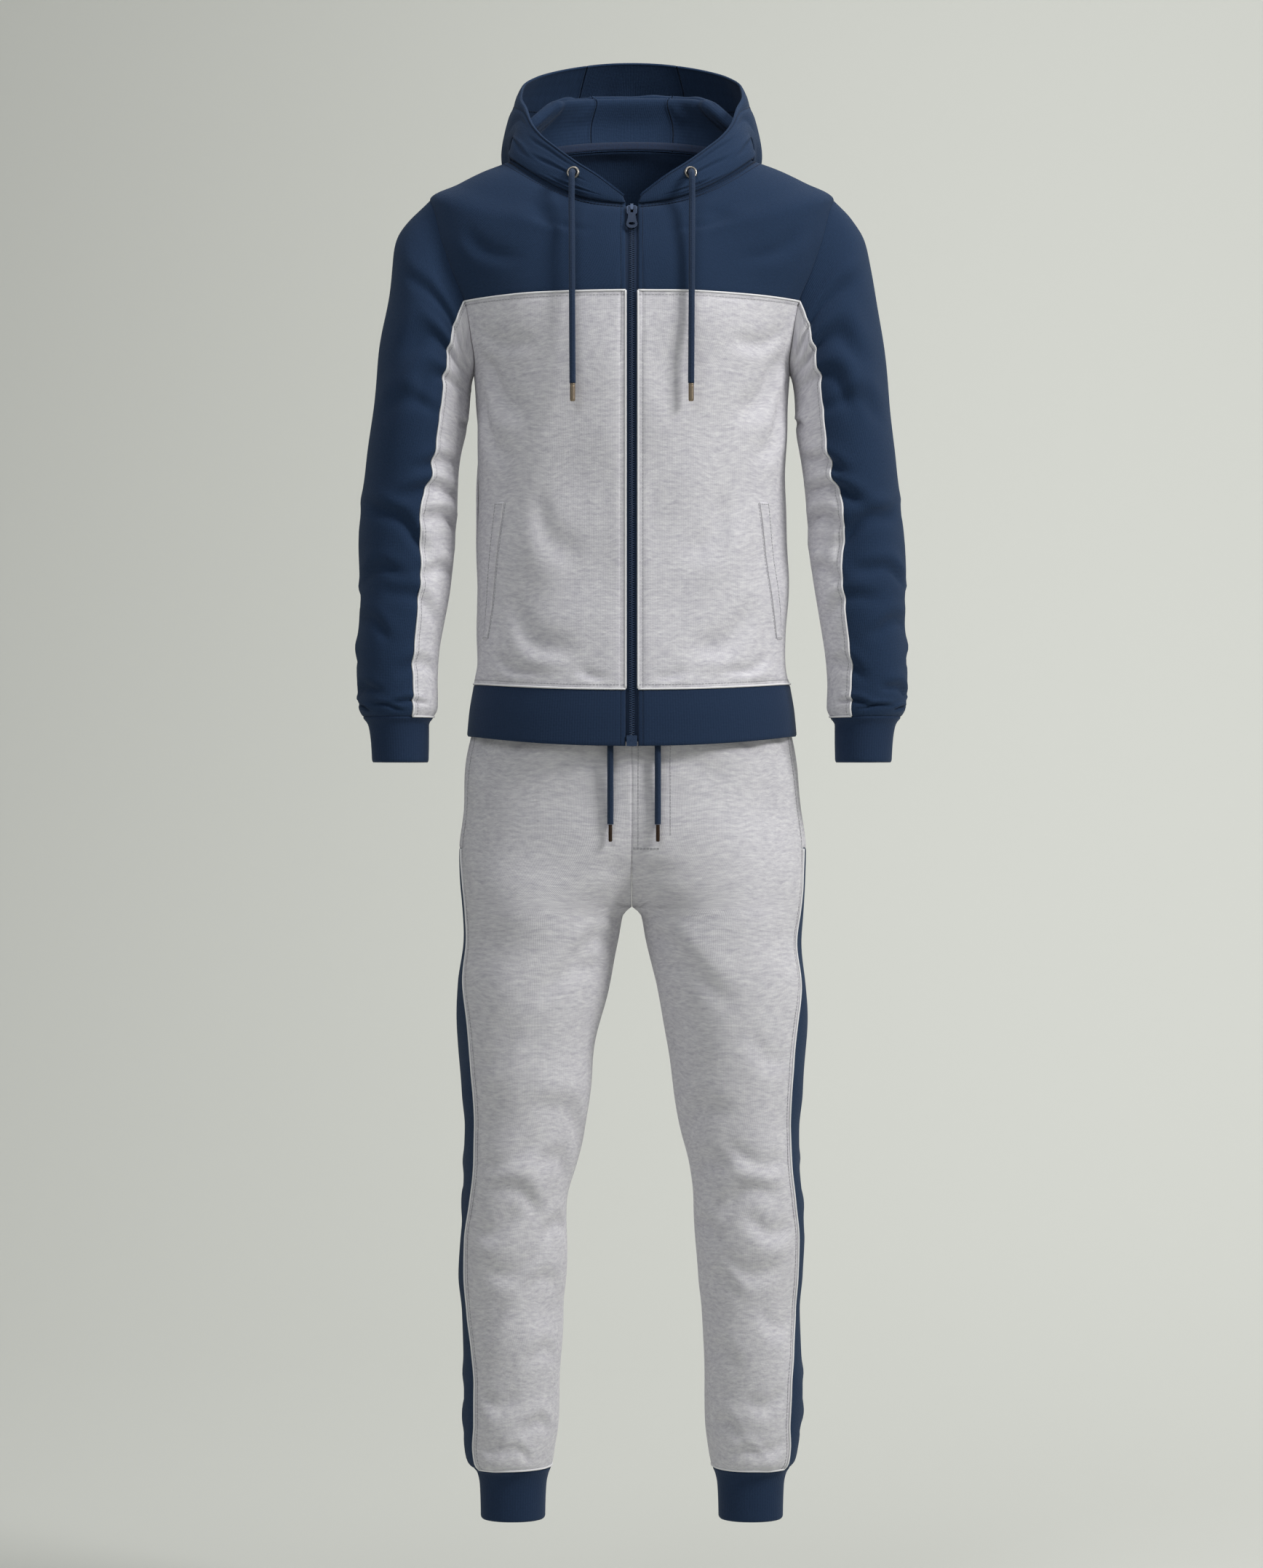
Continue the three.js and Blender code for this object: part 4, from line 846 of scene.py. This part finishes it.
holeAt = armhole(yokeTurn)[0]
backHole = armhole(fullTurn - yokeTurn)[0]
# Shares of a border where it changes course
sideShare, shoulderShare, backEdgeShare = 0.6, 0.7, 3 / 21


def hemLine(u):
    return lerp(zipAngle(bandLevel), quarter, u), same(bandLevel, u)


def yokeLine(u):
    return lerp(zipAngle(yokeLevel), holeAt, u), same(yokeLevel, u)


def backYokeLine(u):
    return lerp(backHole, fullTurn - backHole, u), same(yokeLevel, u)


def sideRise(v):
    return lerp(bandLevel, underarmLevel, v / sideShare)


def bodyRise(v):
    return np.where(v < sideShare, sideRise(v),
                    lerp(underarmLevel, yokeLevel, (v - sideShare) / (1 - sideShare)))


def bodySide(v, turnEnd):
    hole = armhole(lerp(math.pi, turnEnd, np.clip((v - sideShare) / (1 - sideShare), 0, 1)))
    return np.where(v < sideShare, quarter, hole[..., 0]), np.where(v < sideShare, sideRise(v), hole[..., 1])


def neckLine(u):
    return (np.where(u < shoulderShare, lerp(zipAngle(neckLevel), quarter, u / shoulderShare), quarter),
            np.where(u < shoulderShare, neckLevel,
                     lerp(neckLevel, shoulderLevel, (u - shoulderShare) / (1 - shoulderShare))))


def backNeckLine(u):
    middle = np.clip((u - backEdgeShare) / (1 - 2 * backEdgeShare), 0, 1)
    outer = np.clip(1 - np.minimum(u, 1 - u) / backEdgeShare, 0, 1)
    return quarter + 2 * quarter * middle, neckLevel - (neckLevel - shoulderLevel) * outer


def mirrorOf(places):
    return fullTurn - places[0], places[1]


def backYokeSide(v):
    return tuple(armhole(lerp(fullTurn - yokeTurn, fullTurn, v)).T)


bodyU, bodyV = spaced(275), spaced(455)
bodyFront = patch(hemLine, yokeLine, lambda v: (zipAngle(bodyRise(v)), bodyRise(v)),
                  lambda v: bodySide(v, yokeTurn), bodyU, bodyV)
yokeFront = patch(
    yokeLine, neckLine,
    lambda v: (zipAngle(lerp(yokeLevel, neckLevel, v)), lerp(yokeLevel, neckLevel, v)),
    lambda v: tuple(armhole(lerp(yokeTurn, 0, v)).T), spaced(260), spaced(150))
bodyBack = patch(
    lambda u: (lerp(quarter, 3 * quarter, u), same(bandLevel, u)), backYokeLine,
    lambda v: bodySide(v, fullTurn - yokeTurn), lambda v: mirrorOf(bodySide(v, fullTurn - yokeTurn)),
    spaced(540), bodyV)
yokeBack = patch(backYokeLine, backNeckLine, backYokeSide, lambda v: mirrorOf(backYokeSide(v)),
                 spaced(520), spaced(190))


def bandLine(height):
    def line(u):
        start = float(zipAngle(height))
        part = np.array([0, 10 / 41, 31 / 41, 1])
        return np.interp(u, part, [start, quarter, 3 * quarter, fullTurn - start]), same(height, u)
    return line


hemBand = patch(bandLine(0), bandLine(bandLevel), lambda v: (zipAngle(2 * v), 2 * v),
                lambda v: (fullTurn - zipAngle(2 * v), 2 * v), spaced(1050), spaced(66))
walls = {"cloth": 2.2, "rib": 3.2, "hood": 2.6, "tape": 0.6, "welt": 1.2, "zip": 0.9}
for tag, side in sides:
    panel(f"bodyFront{tag}", "torso", bodyFront, walls["cloth"], "grey_heather", side,
          stitched=("west", "high", "low"))
    panel(f"yokeFront{tag}", "torso", yokeFront, walls["cloth"], "navy_fleece", side,
          stitched=("west", "high"), thread="navy")
panel("bodyBack", "torso", bodyBack, walls["cloth"], "grey_heather", stitched=("low", "high"))
panel("yokeBack", "torso", yokeBack, walls["cloth"], "navy_fleece")
panel("hemBand", "torso", hemBand, walls["rib"], "navy_rib", seam=(1.3, 3.2), stitched=("west", "east"),
      thread="navy")
print("body")


# Sleeves
def seamOf(row):
    return np.radians(read(sleeve, "row", "seam", row))


cuffRow, sleeveRows = 16, 19
sleeveV = spaced(620)


def rowAt(v):
    return lerp(-0.05, cuffRow, v)


def sleeveSeam(v):
    return seamOf(rowAt(v))


sleeveOuter = gridOf(lambda u, v: (lerp(-sleeveSeam(v), sleeveSeam(v), u), rowAt(v)), spaced(250), sleeveV)
sleeveUnder = gridOf(lambda u, v: (lerp(sleeveSeam(v), fullTurn - sleeveSeam(v), u), rowAt(v)),
                     spaced(150), sleeveV)
sleeveCuff = gridOf(lambda u, v: (u * fullTurn, lerp(cuffRow, sleeveRows, v)), steps(72), spaced(52, 3))
for tag, side in sides:
    panel(f"sleeveOuter{tag}", "sleeve", sleeveOuter, walls["cloth"], "navy_fleece", side)
    panel(f"sleeveUnder{tag}", "sleeve", sleeveUnder, walls["cloth"], "grey_heather", side,
          stitched=("west", "east"))
    panel(f"sleeveCuff{tag}", "sleeve", sleeveCuff, walls["rib"], "navy_rib", side, True, seam=(1.3, 2.6))
print("sleeves")

# Hood and the tape inside the back of the neck
hoodSeam = quarter + rad(72)
hoodV = spaced(380, 3.6)
hoodTurns = [float(zipAngle(neckLevel)), quarter, hoodSeam]
hoodSide = gridOf(lambda u, v: (np.interp(u, [0, 7 / 13, 1], hoodTurns), hoodRows * v), spaced(280, 4.5), hoodV)
hoodCentre = gridOf(lambda u, v: (lerp(hoodSeam, fullTurn - hoodSeam, u), hoodRows * v), spaced(100, 4.5), hoodV)
for tag, side in sides:
    panel(f"hoodSide{tag}", "hood", hoodSide, walls["hood"], "navy_fleece", side, seam=(1.0, 2.8))
panel("hoodCentre", "hood", hoodCentre, walls["hood"], "navy_fleece", seam=(1.0, 2.8))
tapeSet = {"turns": (141, 219), "rows": (0.05, 0.4), "off": 0.2}
tapeGrid = gridOf(lambda u, v: (lerp(*map(rad, tapeSet["turns"]), u), lerp(*tapeSet["rows"], v)),
                  steps(40), steps(3))
panel("neckTape", "hood", tapeGrid, walls["tape"], "neck_tape", out=-(walls["hood"] + tapeSet["off"]),
      seam=(0.1, 1))
print("hood")


# Trousers
def legGrid(start, end, top, bottom, wide):
    def places(u, v):
        drop = lerp(top, bottom, v)
        return lerp(start(drop), end(drop), u), drop
    return gridOf(places, spaced(wide), spaced(bottom - top))


def backEdge(drop):
    return np.full_like(drop, stripeBack)


legPieces = {
    "legFront": (legGrid(stripeAt, lambda d: legEnd(-d), waistDrop, ankleDrop, 200), "grey_heather", ("west",)),
    "legBack": (legGrid(lambda d: -legEnd(-d), backEdge, waistDrop, ankleDrop, 230), "grey_heather", ("east",)),
    "hipFacing": (legGrid(backEdge, stripeAt, waistDrop, facingDrop, 110), "grey_heather", ("west", "east")),
    "sideStripe": (legGrid(backEdge, stripeAt, facingDrop, ankleDrop, 110), "navy_fleece", ()),
}
ankleCuff = gridOf(lambda u, v: (u * fullTurn, lerp(ankleDrop, footDrop, v)), steps(80), spaced(59, 3))
for tag, side in sides:
    for name, (places, finish, stitched) in legPieces.items():
        panel(f"{name}{tag}", "leg", places, walls["cloth"], finish, side, clear=0.25, seam=(0.9, 3.0),
              stitched=stitched)
    panel(f"ankleCuff{tag}", "leg", ankleCuff, walls["rib"], "navy_rib", side, True, seam=(1.3, 2.6))


# A CAD node that is kept as it is, with a material
def dress(name, finish):
    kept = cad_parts[name]
    kept.data.materials.clear()
    kept.data.materials.append(finishes[finish])
    return kept


dress("waistband", "waist_rib")
print("trousers")

# Lines of stitches at neck and hood, and the rolled edges
sewnSet = {"neckAcross": 9, "neckDrops": (0.14, 0.36), "besideSeam": rad(2.2), "innerFace": 0.3}
for tag, side in sides:
    neckTurns = steps(200, float(angleAcross(sewnSet["neckAcross"], neckLevel)), math.pi)
    for drop in sewnSet["neckDrops"]:
        stitches("navy", "torso", neckTurns, neckLevel - drop, side)
    for out in (0, -walls["hood"] - sewnSet["innerFace"]):
        stitches("navy", "hood", steps(260, rad(6), math.pi), channelSet["seam"], side, out)
    for turn in (hoodSeam - sewnSet["besideSeam"], hoodSeam + sewnSet["besideSeam"]):
        stitches("navy", "hood", turn, steps(120, 0.1, 10.9), side)
    rows = steps(240, 0.05, 15.95)
    roll("sleeve", "sleeve", seamOf(rows), rows, side)
    roll("sleeveBack", "sleeve", fullTurn - seamOf(rows), rows, side)
    end = float(seamOf(15.99))
    roll("cuff", "sleeve", steps(60, end, fullTurn - end), 15.97, side)
    drops = steps(240, 777, 1480)
    roll("stripe", "leg", stripeAt(drops) + 0.006, drops, side)
    roll("stripeBack", "leg", stripeBack - 0.006, drops, side)
    roll("ankle", "leg", steps(90, float(stripeAt(1480)), fullTurn + stripeBack), 1480.6, side)
    roll("yoke", "torso", steps(90, float(zipAngle(yokeLevel)), holeAt), 9.985, side)
    roll("yokeBack", "torso", steps(90, backHole, math.pi), 9.985, side)
    roll("hem", "torso", steps(200, float(zipAngle(bandLevel)), math.pi), 2.02, side)
    zipLevels = steps(160, 2.03, 9.98)
    roll("zip", "torso", zipAngle(zipLevels), zipLevels, side)

# The front's middle lines on the trousers: seam and sham fly, on the right leg as seen
flyTable = [(7, 614, 775), (43, 640, 760)]
flyFoot = {"drops": (775.0, 776.2), "from": 1, "to": 31}


def legAcross(x, drop):
    z = -np.asarray(drop, float)
    outer = read(leg, "z", "outer", z)
    centre = outer * cut(z) / (1 + cut(z))
    return np.arccos(np.clip(power((x - centre) / (outer - centre), 1 / legRoundness), -1, 1))


for x, top, bottom in flyTable:
    drops = steps(60, top, bottom)
    stitches("grey", "leg", legAcross(x, drops), drops)
for drop in flyFoot["drops"]:
    stitches("grey", "leg", legAcross(steps(24, flyFoot["from"], flyFoot["to"]), drop), drop)

# Pocket welts, laid on the fronts: a folded lip with a line of stitches on either side
weltSet = {"topAcross": 143, "topLevel": 5.62, "footAcross": 163, "footLevel": 3.4, "wide": 12, "out": 1.3}


def weltPlace(u, v):
    height = lerp(weltSet["footLevel"], weltSet["topLevel"], v)
    start = angleAcross(lerp(weltSet["footAcross"], weltSet["topAcross"], v), height)
    span = np.linalg.norm(torsoPoint(start, height) - torsoPoint(start + 1, height), axis=-1)
    return start + weltSet["wide"] / span * u, height


weltGrid = gridOf(weltPlace, spaced(12, 2), spaced(160))
for tag, side in sides:
    panel(f"pocketWelt{tag}", "torso", weltGrid, walls["welt"], "grey_heather", side, seam=(0.8, 1.8),
          out=weltSet["out"])
    for u in (-0.12, 1.12):
        stitches("grey", "torso", *weltPlace(u, steps(60)), side)
    for v in (0.015, 0.985):
        stitches("grey", "torso", *weltPlace(steps(10, 0.1, 0.9), v), side, weltSet["out"])
for key, bm in stitchMeshes.items():
    name = f"{key}Stitches"
    finished(name, filled(bm, bpy.data.meshes.new(name), False), f"{key}Thread")
print("stitches")

# Zip: tapes, two rows of teeth, box, slider and pull
zipSet = {"tapeOut": -2.7, "bandOut": -3.8, "tapeAcross": (0.9, 12), "tapeRows": (0.15, 15.9),
          "toothRows": (0.36, 14.62), "toothPitch": 2.6, "toothWide": 3.5, "toothTall": 1.5,
          "toothLong": 1.3, "toothOut": -1.2, "toothAside": 1.15}


def tapePlace(u, v):
    height = lerp(*zipSet["tapeRows"], v)
    return angleAcross(lerp(*zipSet["tapeAcross"], u), height), height


# A small bevel on a piece's edges
def rounded(obj, width, parts):
    soft = obj.modifiers.new("round", "BEVEL")
    soft.width = width * mm
    soft.segments = parts
    return soft


zipTapeGrid = gridOf(tapePlace, steps(5), steps(130))
for tag, side in sides:
    panel(f"zipTape{tag}", "torso", zipTapeGrid, walls["zip"], "zip", side, seam=(0, 1),
          out=lerp(zipSet["tapeOut"], zipSet["bandOut"], ease((2.3 - zipTapeGrid[1]) / 0.3)))
toothRows = steps(600, *zipSet["toothRows"])
line = laid("torso", np.zeros_like(toothRows), toothRows)[0]
run = spans(line)
bm = bmesh.new()
for i, at in enumerate(np.arange(0.6, run[-1], zipSet["toothPitch"] / 2)):
    side = 1 if i % 2 else -1
    ahead = readAlong(line, run, at + 2) - readAlong(line, run, at - 2)
    up = unit(np.cross(ahead, [1.0, 0, 0]))
    up = -up if up[1] > 0 else up
    aside = np.array([side * zipSet["toothAside"], 0, 0])
    boxAt(bm, readAlong(line, run, at) + aside + up * zipSet["toothOut"], ahead, up,
          (zipSet["toothLong"], zipSet["toothWide"], zipSet["toothTall"]))
teethMesh = filled(bm, bpy.data.meshes.new("zipTeeth"), False)
rounded(finished("zipTeeth", teethMesh, "teeth", "zip_chain"), 0.3, 1)
for name, finish in (("zip_box", "teeth"), ("zip_slider", "steel"), ("zip_pull", "steel")):
    rounded(dress(name, finish), 0.35, 2).limit_method = "ANGLE"
print("zip")

# Eyelets: a flattened ring, spun about its own axis
eyeletSet = {"turn": 28, "along": 7.2, "outer": 7.5, "hole": 4.1, "thick": 1.7, "lift": 0.3}
eyeletPlace = np.array([rad(eyeletSet["turn"])]), np.array([eyeletSet["along"]])
eyeletMiddle = (eyeletSet["outer"] + eyeletSet["hole"]) / 2
eyeletHalf = (eyeletSet["outer"] - eyeletSet["hole"]) / 2
section = Matrix.Translation((eyeletMiddle * mm, 0, 0)) @ Matrix.Rotation(quarter, 4, "X")
for tag, side in sides:
    centre, out = (part[0] for part in laid("hood", *eyeletPlace, side))
    turned = Vector((0, 0, 1)).rotation_difference(Vector(out)).to_matrix().to_4x4()
    turned.translation = Vector(centre * mm)
    bm = bmesh.new()
    bmesh.ops.create_circle(bm, cap_ends=False, radius=eyeletHalf * mm, segments=16, matrix=section)
    for vert in bm.verts:
        vert.co.z = vert.co.z * eyeletSet["thick"] / eyeletHalf + eyeletSet["lift"] * mm
    bmesh.ops.spin(bm, geom=list(bm.verts) + list(bm.edges), cent=(0, 0, 0), axis=(0, 0, 1),
                   angle=fullTurn, steps=40)
    bmesh.ops.remove_doubles(bm, verts=bm.verts, dist=1e-6)
    bmesh.ops.recalc_face_normals(bm, faces=bm.faces)
    bmesh.ops.transform(bm, matrix=turned, verts=bm.verts)
    name = f"eyelet{tag}"
    finished(name, filled(bm, bpy.data.meshes.new(name)), "eyelet", nodeOf(name))

# Drawcords and their tips: a tip is a radius, a length and a finish
cordSet = {"radius": 3.5, "step": 1.5, "hoodTip": (3.1, 20, "tip_brass"), "waistTip": (2.2, 19, "tip_dark"),
           "waistAcross": {"Left": -24, "Right": 29}}
eyeletCentre = hoodPoint(*eyeletPlace)[0]
eyeletOut = facing(hoodPoint, *eyeletPlace)[0]
hoodPath = [eyeletCentre + eyeletOut * 0.7, eyeletCentre + eyeletOut * 3.7] + [np.array(p, float) for p in [
    (67.5, -84, -20), (67.5, -89, -32), (67.5, -93, -50), (67.2, -101, -74), (67, -109, -100),
    (66.8, -115.5, -130), (66.6, -119.5, -160), (66.4, -121.5, -190), (66.2, -122.5, -225), (66, -122.5, -257),
]]
waistPath = [(-104.2, -597), (-109, -599), (-112, -604), (-113, -612), (-113.4, -630), (-113.2, -655),
             (-112.6, -680), (-111.6, -705), (-110.8, -730), (-110.6, -748.5)]


# A smooth line through given points, with even steps
def smoothLine(points):
    points = np.array(points, float)
    padded = np.concatenate([[2 * points[0] - points[1]], points, [2 * points[-1] - points[-2]]])
    out = []
    for k in range(1, len(padded) - 2):
        a, b, c, d = padded[k - 1:k + 3]
        gap = [max(np.linalg.norm(q - p), 1e-6) ** 0.5 for p, q in ((a, b), (b, c), (c, d))]
        m0 = (c - b) + gap[1] * ((b - a) / gap[0] - (c - a) / (gap[0] + gap[1]))
        m1 = (c - b) + gap[1] * ((d - c) / gap[2] - (d - b) / (gap[1] + gap[2]))
        for f in np.linspace(0, 1, 12, endpoint=False):
            out.append(b * (2 * f**3 - 3 * f**2 + 1) + m0 * (f**3 - 2 * f**2 + f)
                       + c * (3 * f**2 - 2 * f**3) + m1 * (f**3 - f**2))
    out.append(padded[-2])
    out = np.array(out)
    run = spans(out)
    return readAlong(out, run, np.linspace(0, run[-1], int(run[-1] / cordSet["step"]) + 1)), run[-1]


# A tube: a grid rolled round a line, its radius read along the line
def tube(name, line, radiusAt, finish, node=None, around=16):
    ahead = unit(np.gradient(line, axis=0))
    sideways = unit(np.cross(ahead, np.array([0, 1.0, 0.02])))
    up = np.cross(sideways, ahead)
    turns = np.linspace(0, fullTurn, around + 1)
    run = spans(line)
    radius = radiusAt(run / run[-1])[:, None, None]
    points = line[:, None] + radius * (sideways[:, None] * np.cos(turns)[None, :, None]
                                       + up[:, None] * np.sin(turns)[None, :, None])
    mesh = gridMesh(name, points, turns * radius.max(), run[:, None])
    bm = bmesh.new()
    bm.from_mesh(mesh)
    bmesh.ops.remove_doubles(bm, verts=bm.verts, dist=1e-6)
    bmesh.ops.holes_fill(bm, edges=[edge for edge in bm.edges if edge.is_boundary], sides=0)
    bmesh.ops.recalc_face_normals(bm, faces=bm.faces)
    return finished(name, filled(bm, mesh), finish, node)


def evenly(radius):
    return lambda f: np.full_like(f, radius)


def tipShape(radius):
    return lambda f: radius * np.interp(f, [0, 0.03, 0.07, 0.1, 0.14, 0.9, 0.96, 1],
                                        [0.9, 1, 1, 0.9, 0.97, 0.97, 0.9, 0.7])


for tag, side in sides:
    cords = {
        "hoodCord": ([p * np.array([side, 1, 1]) for p in hoodPath], *cordSet["hoodTip"]),
        "waistCord": ([np.array([cordSet["waistAcross"][tag], y, z]) for y, z in waistPath],
                      *cordSet["waistTip"]),
    }
    for base, (points, tipRadius, tipLong, tipFinish) in cords.items():
        line, length = smoothLine(points)
        name, tipName = f"{base}{tag}", f"{base}Tip{tag}"
        cordPiece = tube(name, line, evenly(cordSet["radius"]), "cord", nodeOf(name))
        top = points[-1] + np.array([0, 0, -0.3])
        tipLine = np.linspace(top, top + np.array([0, 0, -tipLong]), 30)
        tip = tube(tipName, tipLine, tipShape(tipRadius), tipFinish, nodeOf(tipName))
# Tubes for the rolled edges, in the lighter roll colour that paints a highlight along the seams
for name, line in rolls:
    tube(f"{name}Roll", line, evenly(rollSet["radius"]), "roll", around=rollSet["around"])
print("cords and rolled edges")

# Studio: pale floor running up into a wall, and soft light mostly from the right
stageSet = {"floor": -1.72, "back": 7.2, "bend": 4.5, "flat": 9.0, "halfWide": 14, "long": 22,
            "colour": (0.62, 0.63, 0.59), "rough": 0.95}
bm = bmesh.new()
bmesh.ops.create_grid(bm, x_segments=4, y_segments=60, size=1)
back, bend, flat = (stageSet[key] for key in ("back", "bend", "flat"))
for vert in bm.verts:
    x, t = vert.co.x * stageSet["halfWide"], (vert.co.y + 1) / 2 * stageSet["long"]
    if t < flat:
        y, z = back - bend - flat + t, 0.0
    elif t < flat + bend * quarter:
        turn = (t - flat) / bend
        y, z = back - bend + bend * math.sin(turn), bend * (1 - math.cos(turn))
    else:
        y, z = back, bend + t - flat - bend * quarter
    vert.co = (x, y, z + stageSet["floor"])
mesh = filled(bm, bpy.data.meshes.new("backdrop"))
backdrop = bpy.data.objects.new("backdrop", mesh)
bpy.context.scene.collection.objects.link(backdrop)
paper = bpy.data.materials.new("paper")
paper.use_nodes = True
shader = paper.node_tree.nodes["Principled BSDF"]
shader.inputs["Base Color"].default_value = (*stageSet["colour"], 1)
shader.inputs["Roughness"].default_value = stageSet["rough"]
mesh.materials.append(paper)

lightTable = [
    ("key", (3.5, -2.1, 2.2), (0, 0, 0.05), 1.3, 162, (1, 0.99, 0.97)),
    ("fill", (-1.5, -3.0, 1.9), (-0.1, 0, 0.1), 2.0, 31, (0.96, 0.98, 1)),
    ("top", (0.2, -0.6, 2.4), (0, 0, -0.5), 1.6, 26, (1, 1, 1)),
    ("wall", (2.0, 3.0, 3.8), (1.8, 7.2, 0.0), 4.0, 150, (1, 1, 1)),
    ("ground", (1.2, 2.8, 2.4), (0.4, 3.2, -1.72), 3.0, 42, (1, 1, 1)),
]
for name, place, target, size, watts, colour in lightTable:
    data = bpy.data.lights.new(name, "AREA")
    data.size, data.energy, data.color = size, watts, colour
    light = bpy.data.objects.new(name, data)
    light.location = place
    light.rotation_euler = (Vector(target) - Vector(place)).to_track_quat("-Z", "Y").to_euler()
    bpy.context.scene.collection.objects.link(light)
world = bpy.data.worlds.new("studio")
bpy.context.scene.world = world
world.use_nodes = True
world.node_tree.nodes["Background"].inputs["Color"].default_value = (0.93, 0.95, 0.94, 1)
world.node_tree.nodes["Background"].inputs["Strength"].default_value = 0.2
bpy.context.scene.view_settings.view_transform = "Standard"
print("studio")
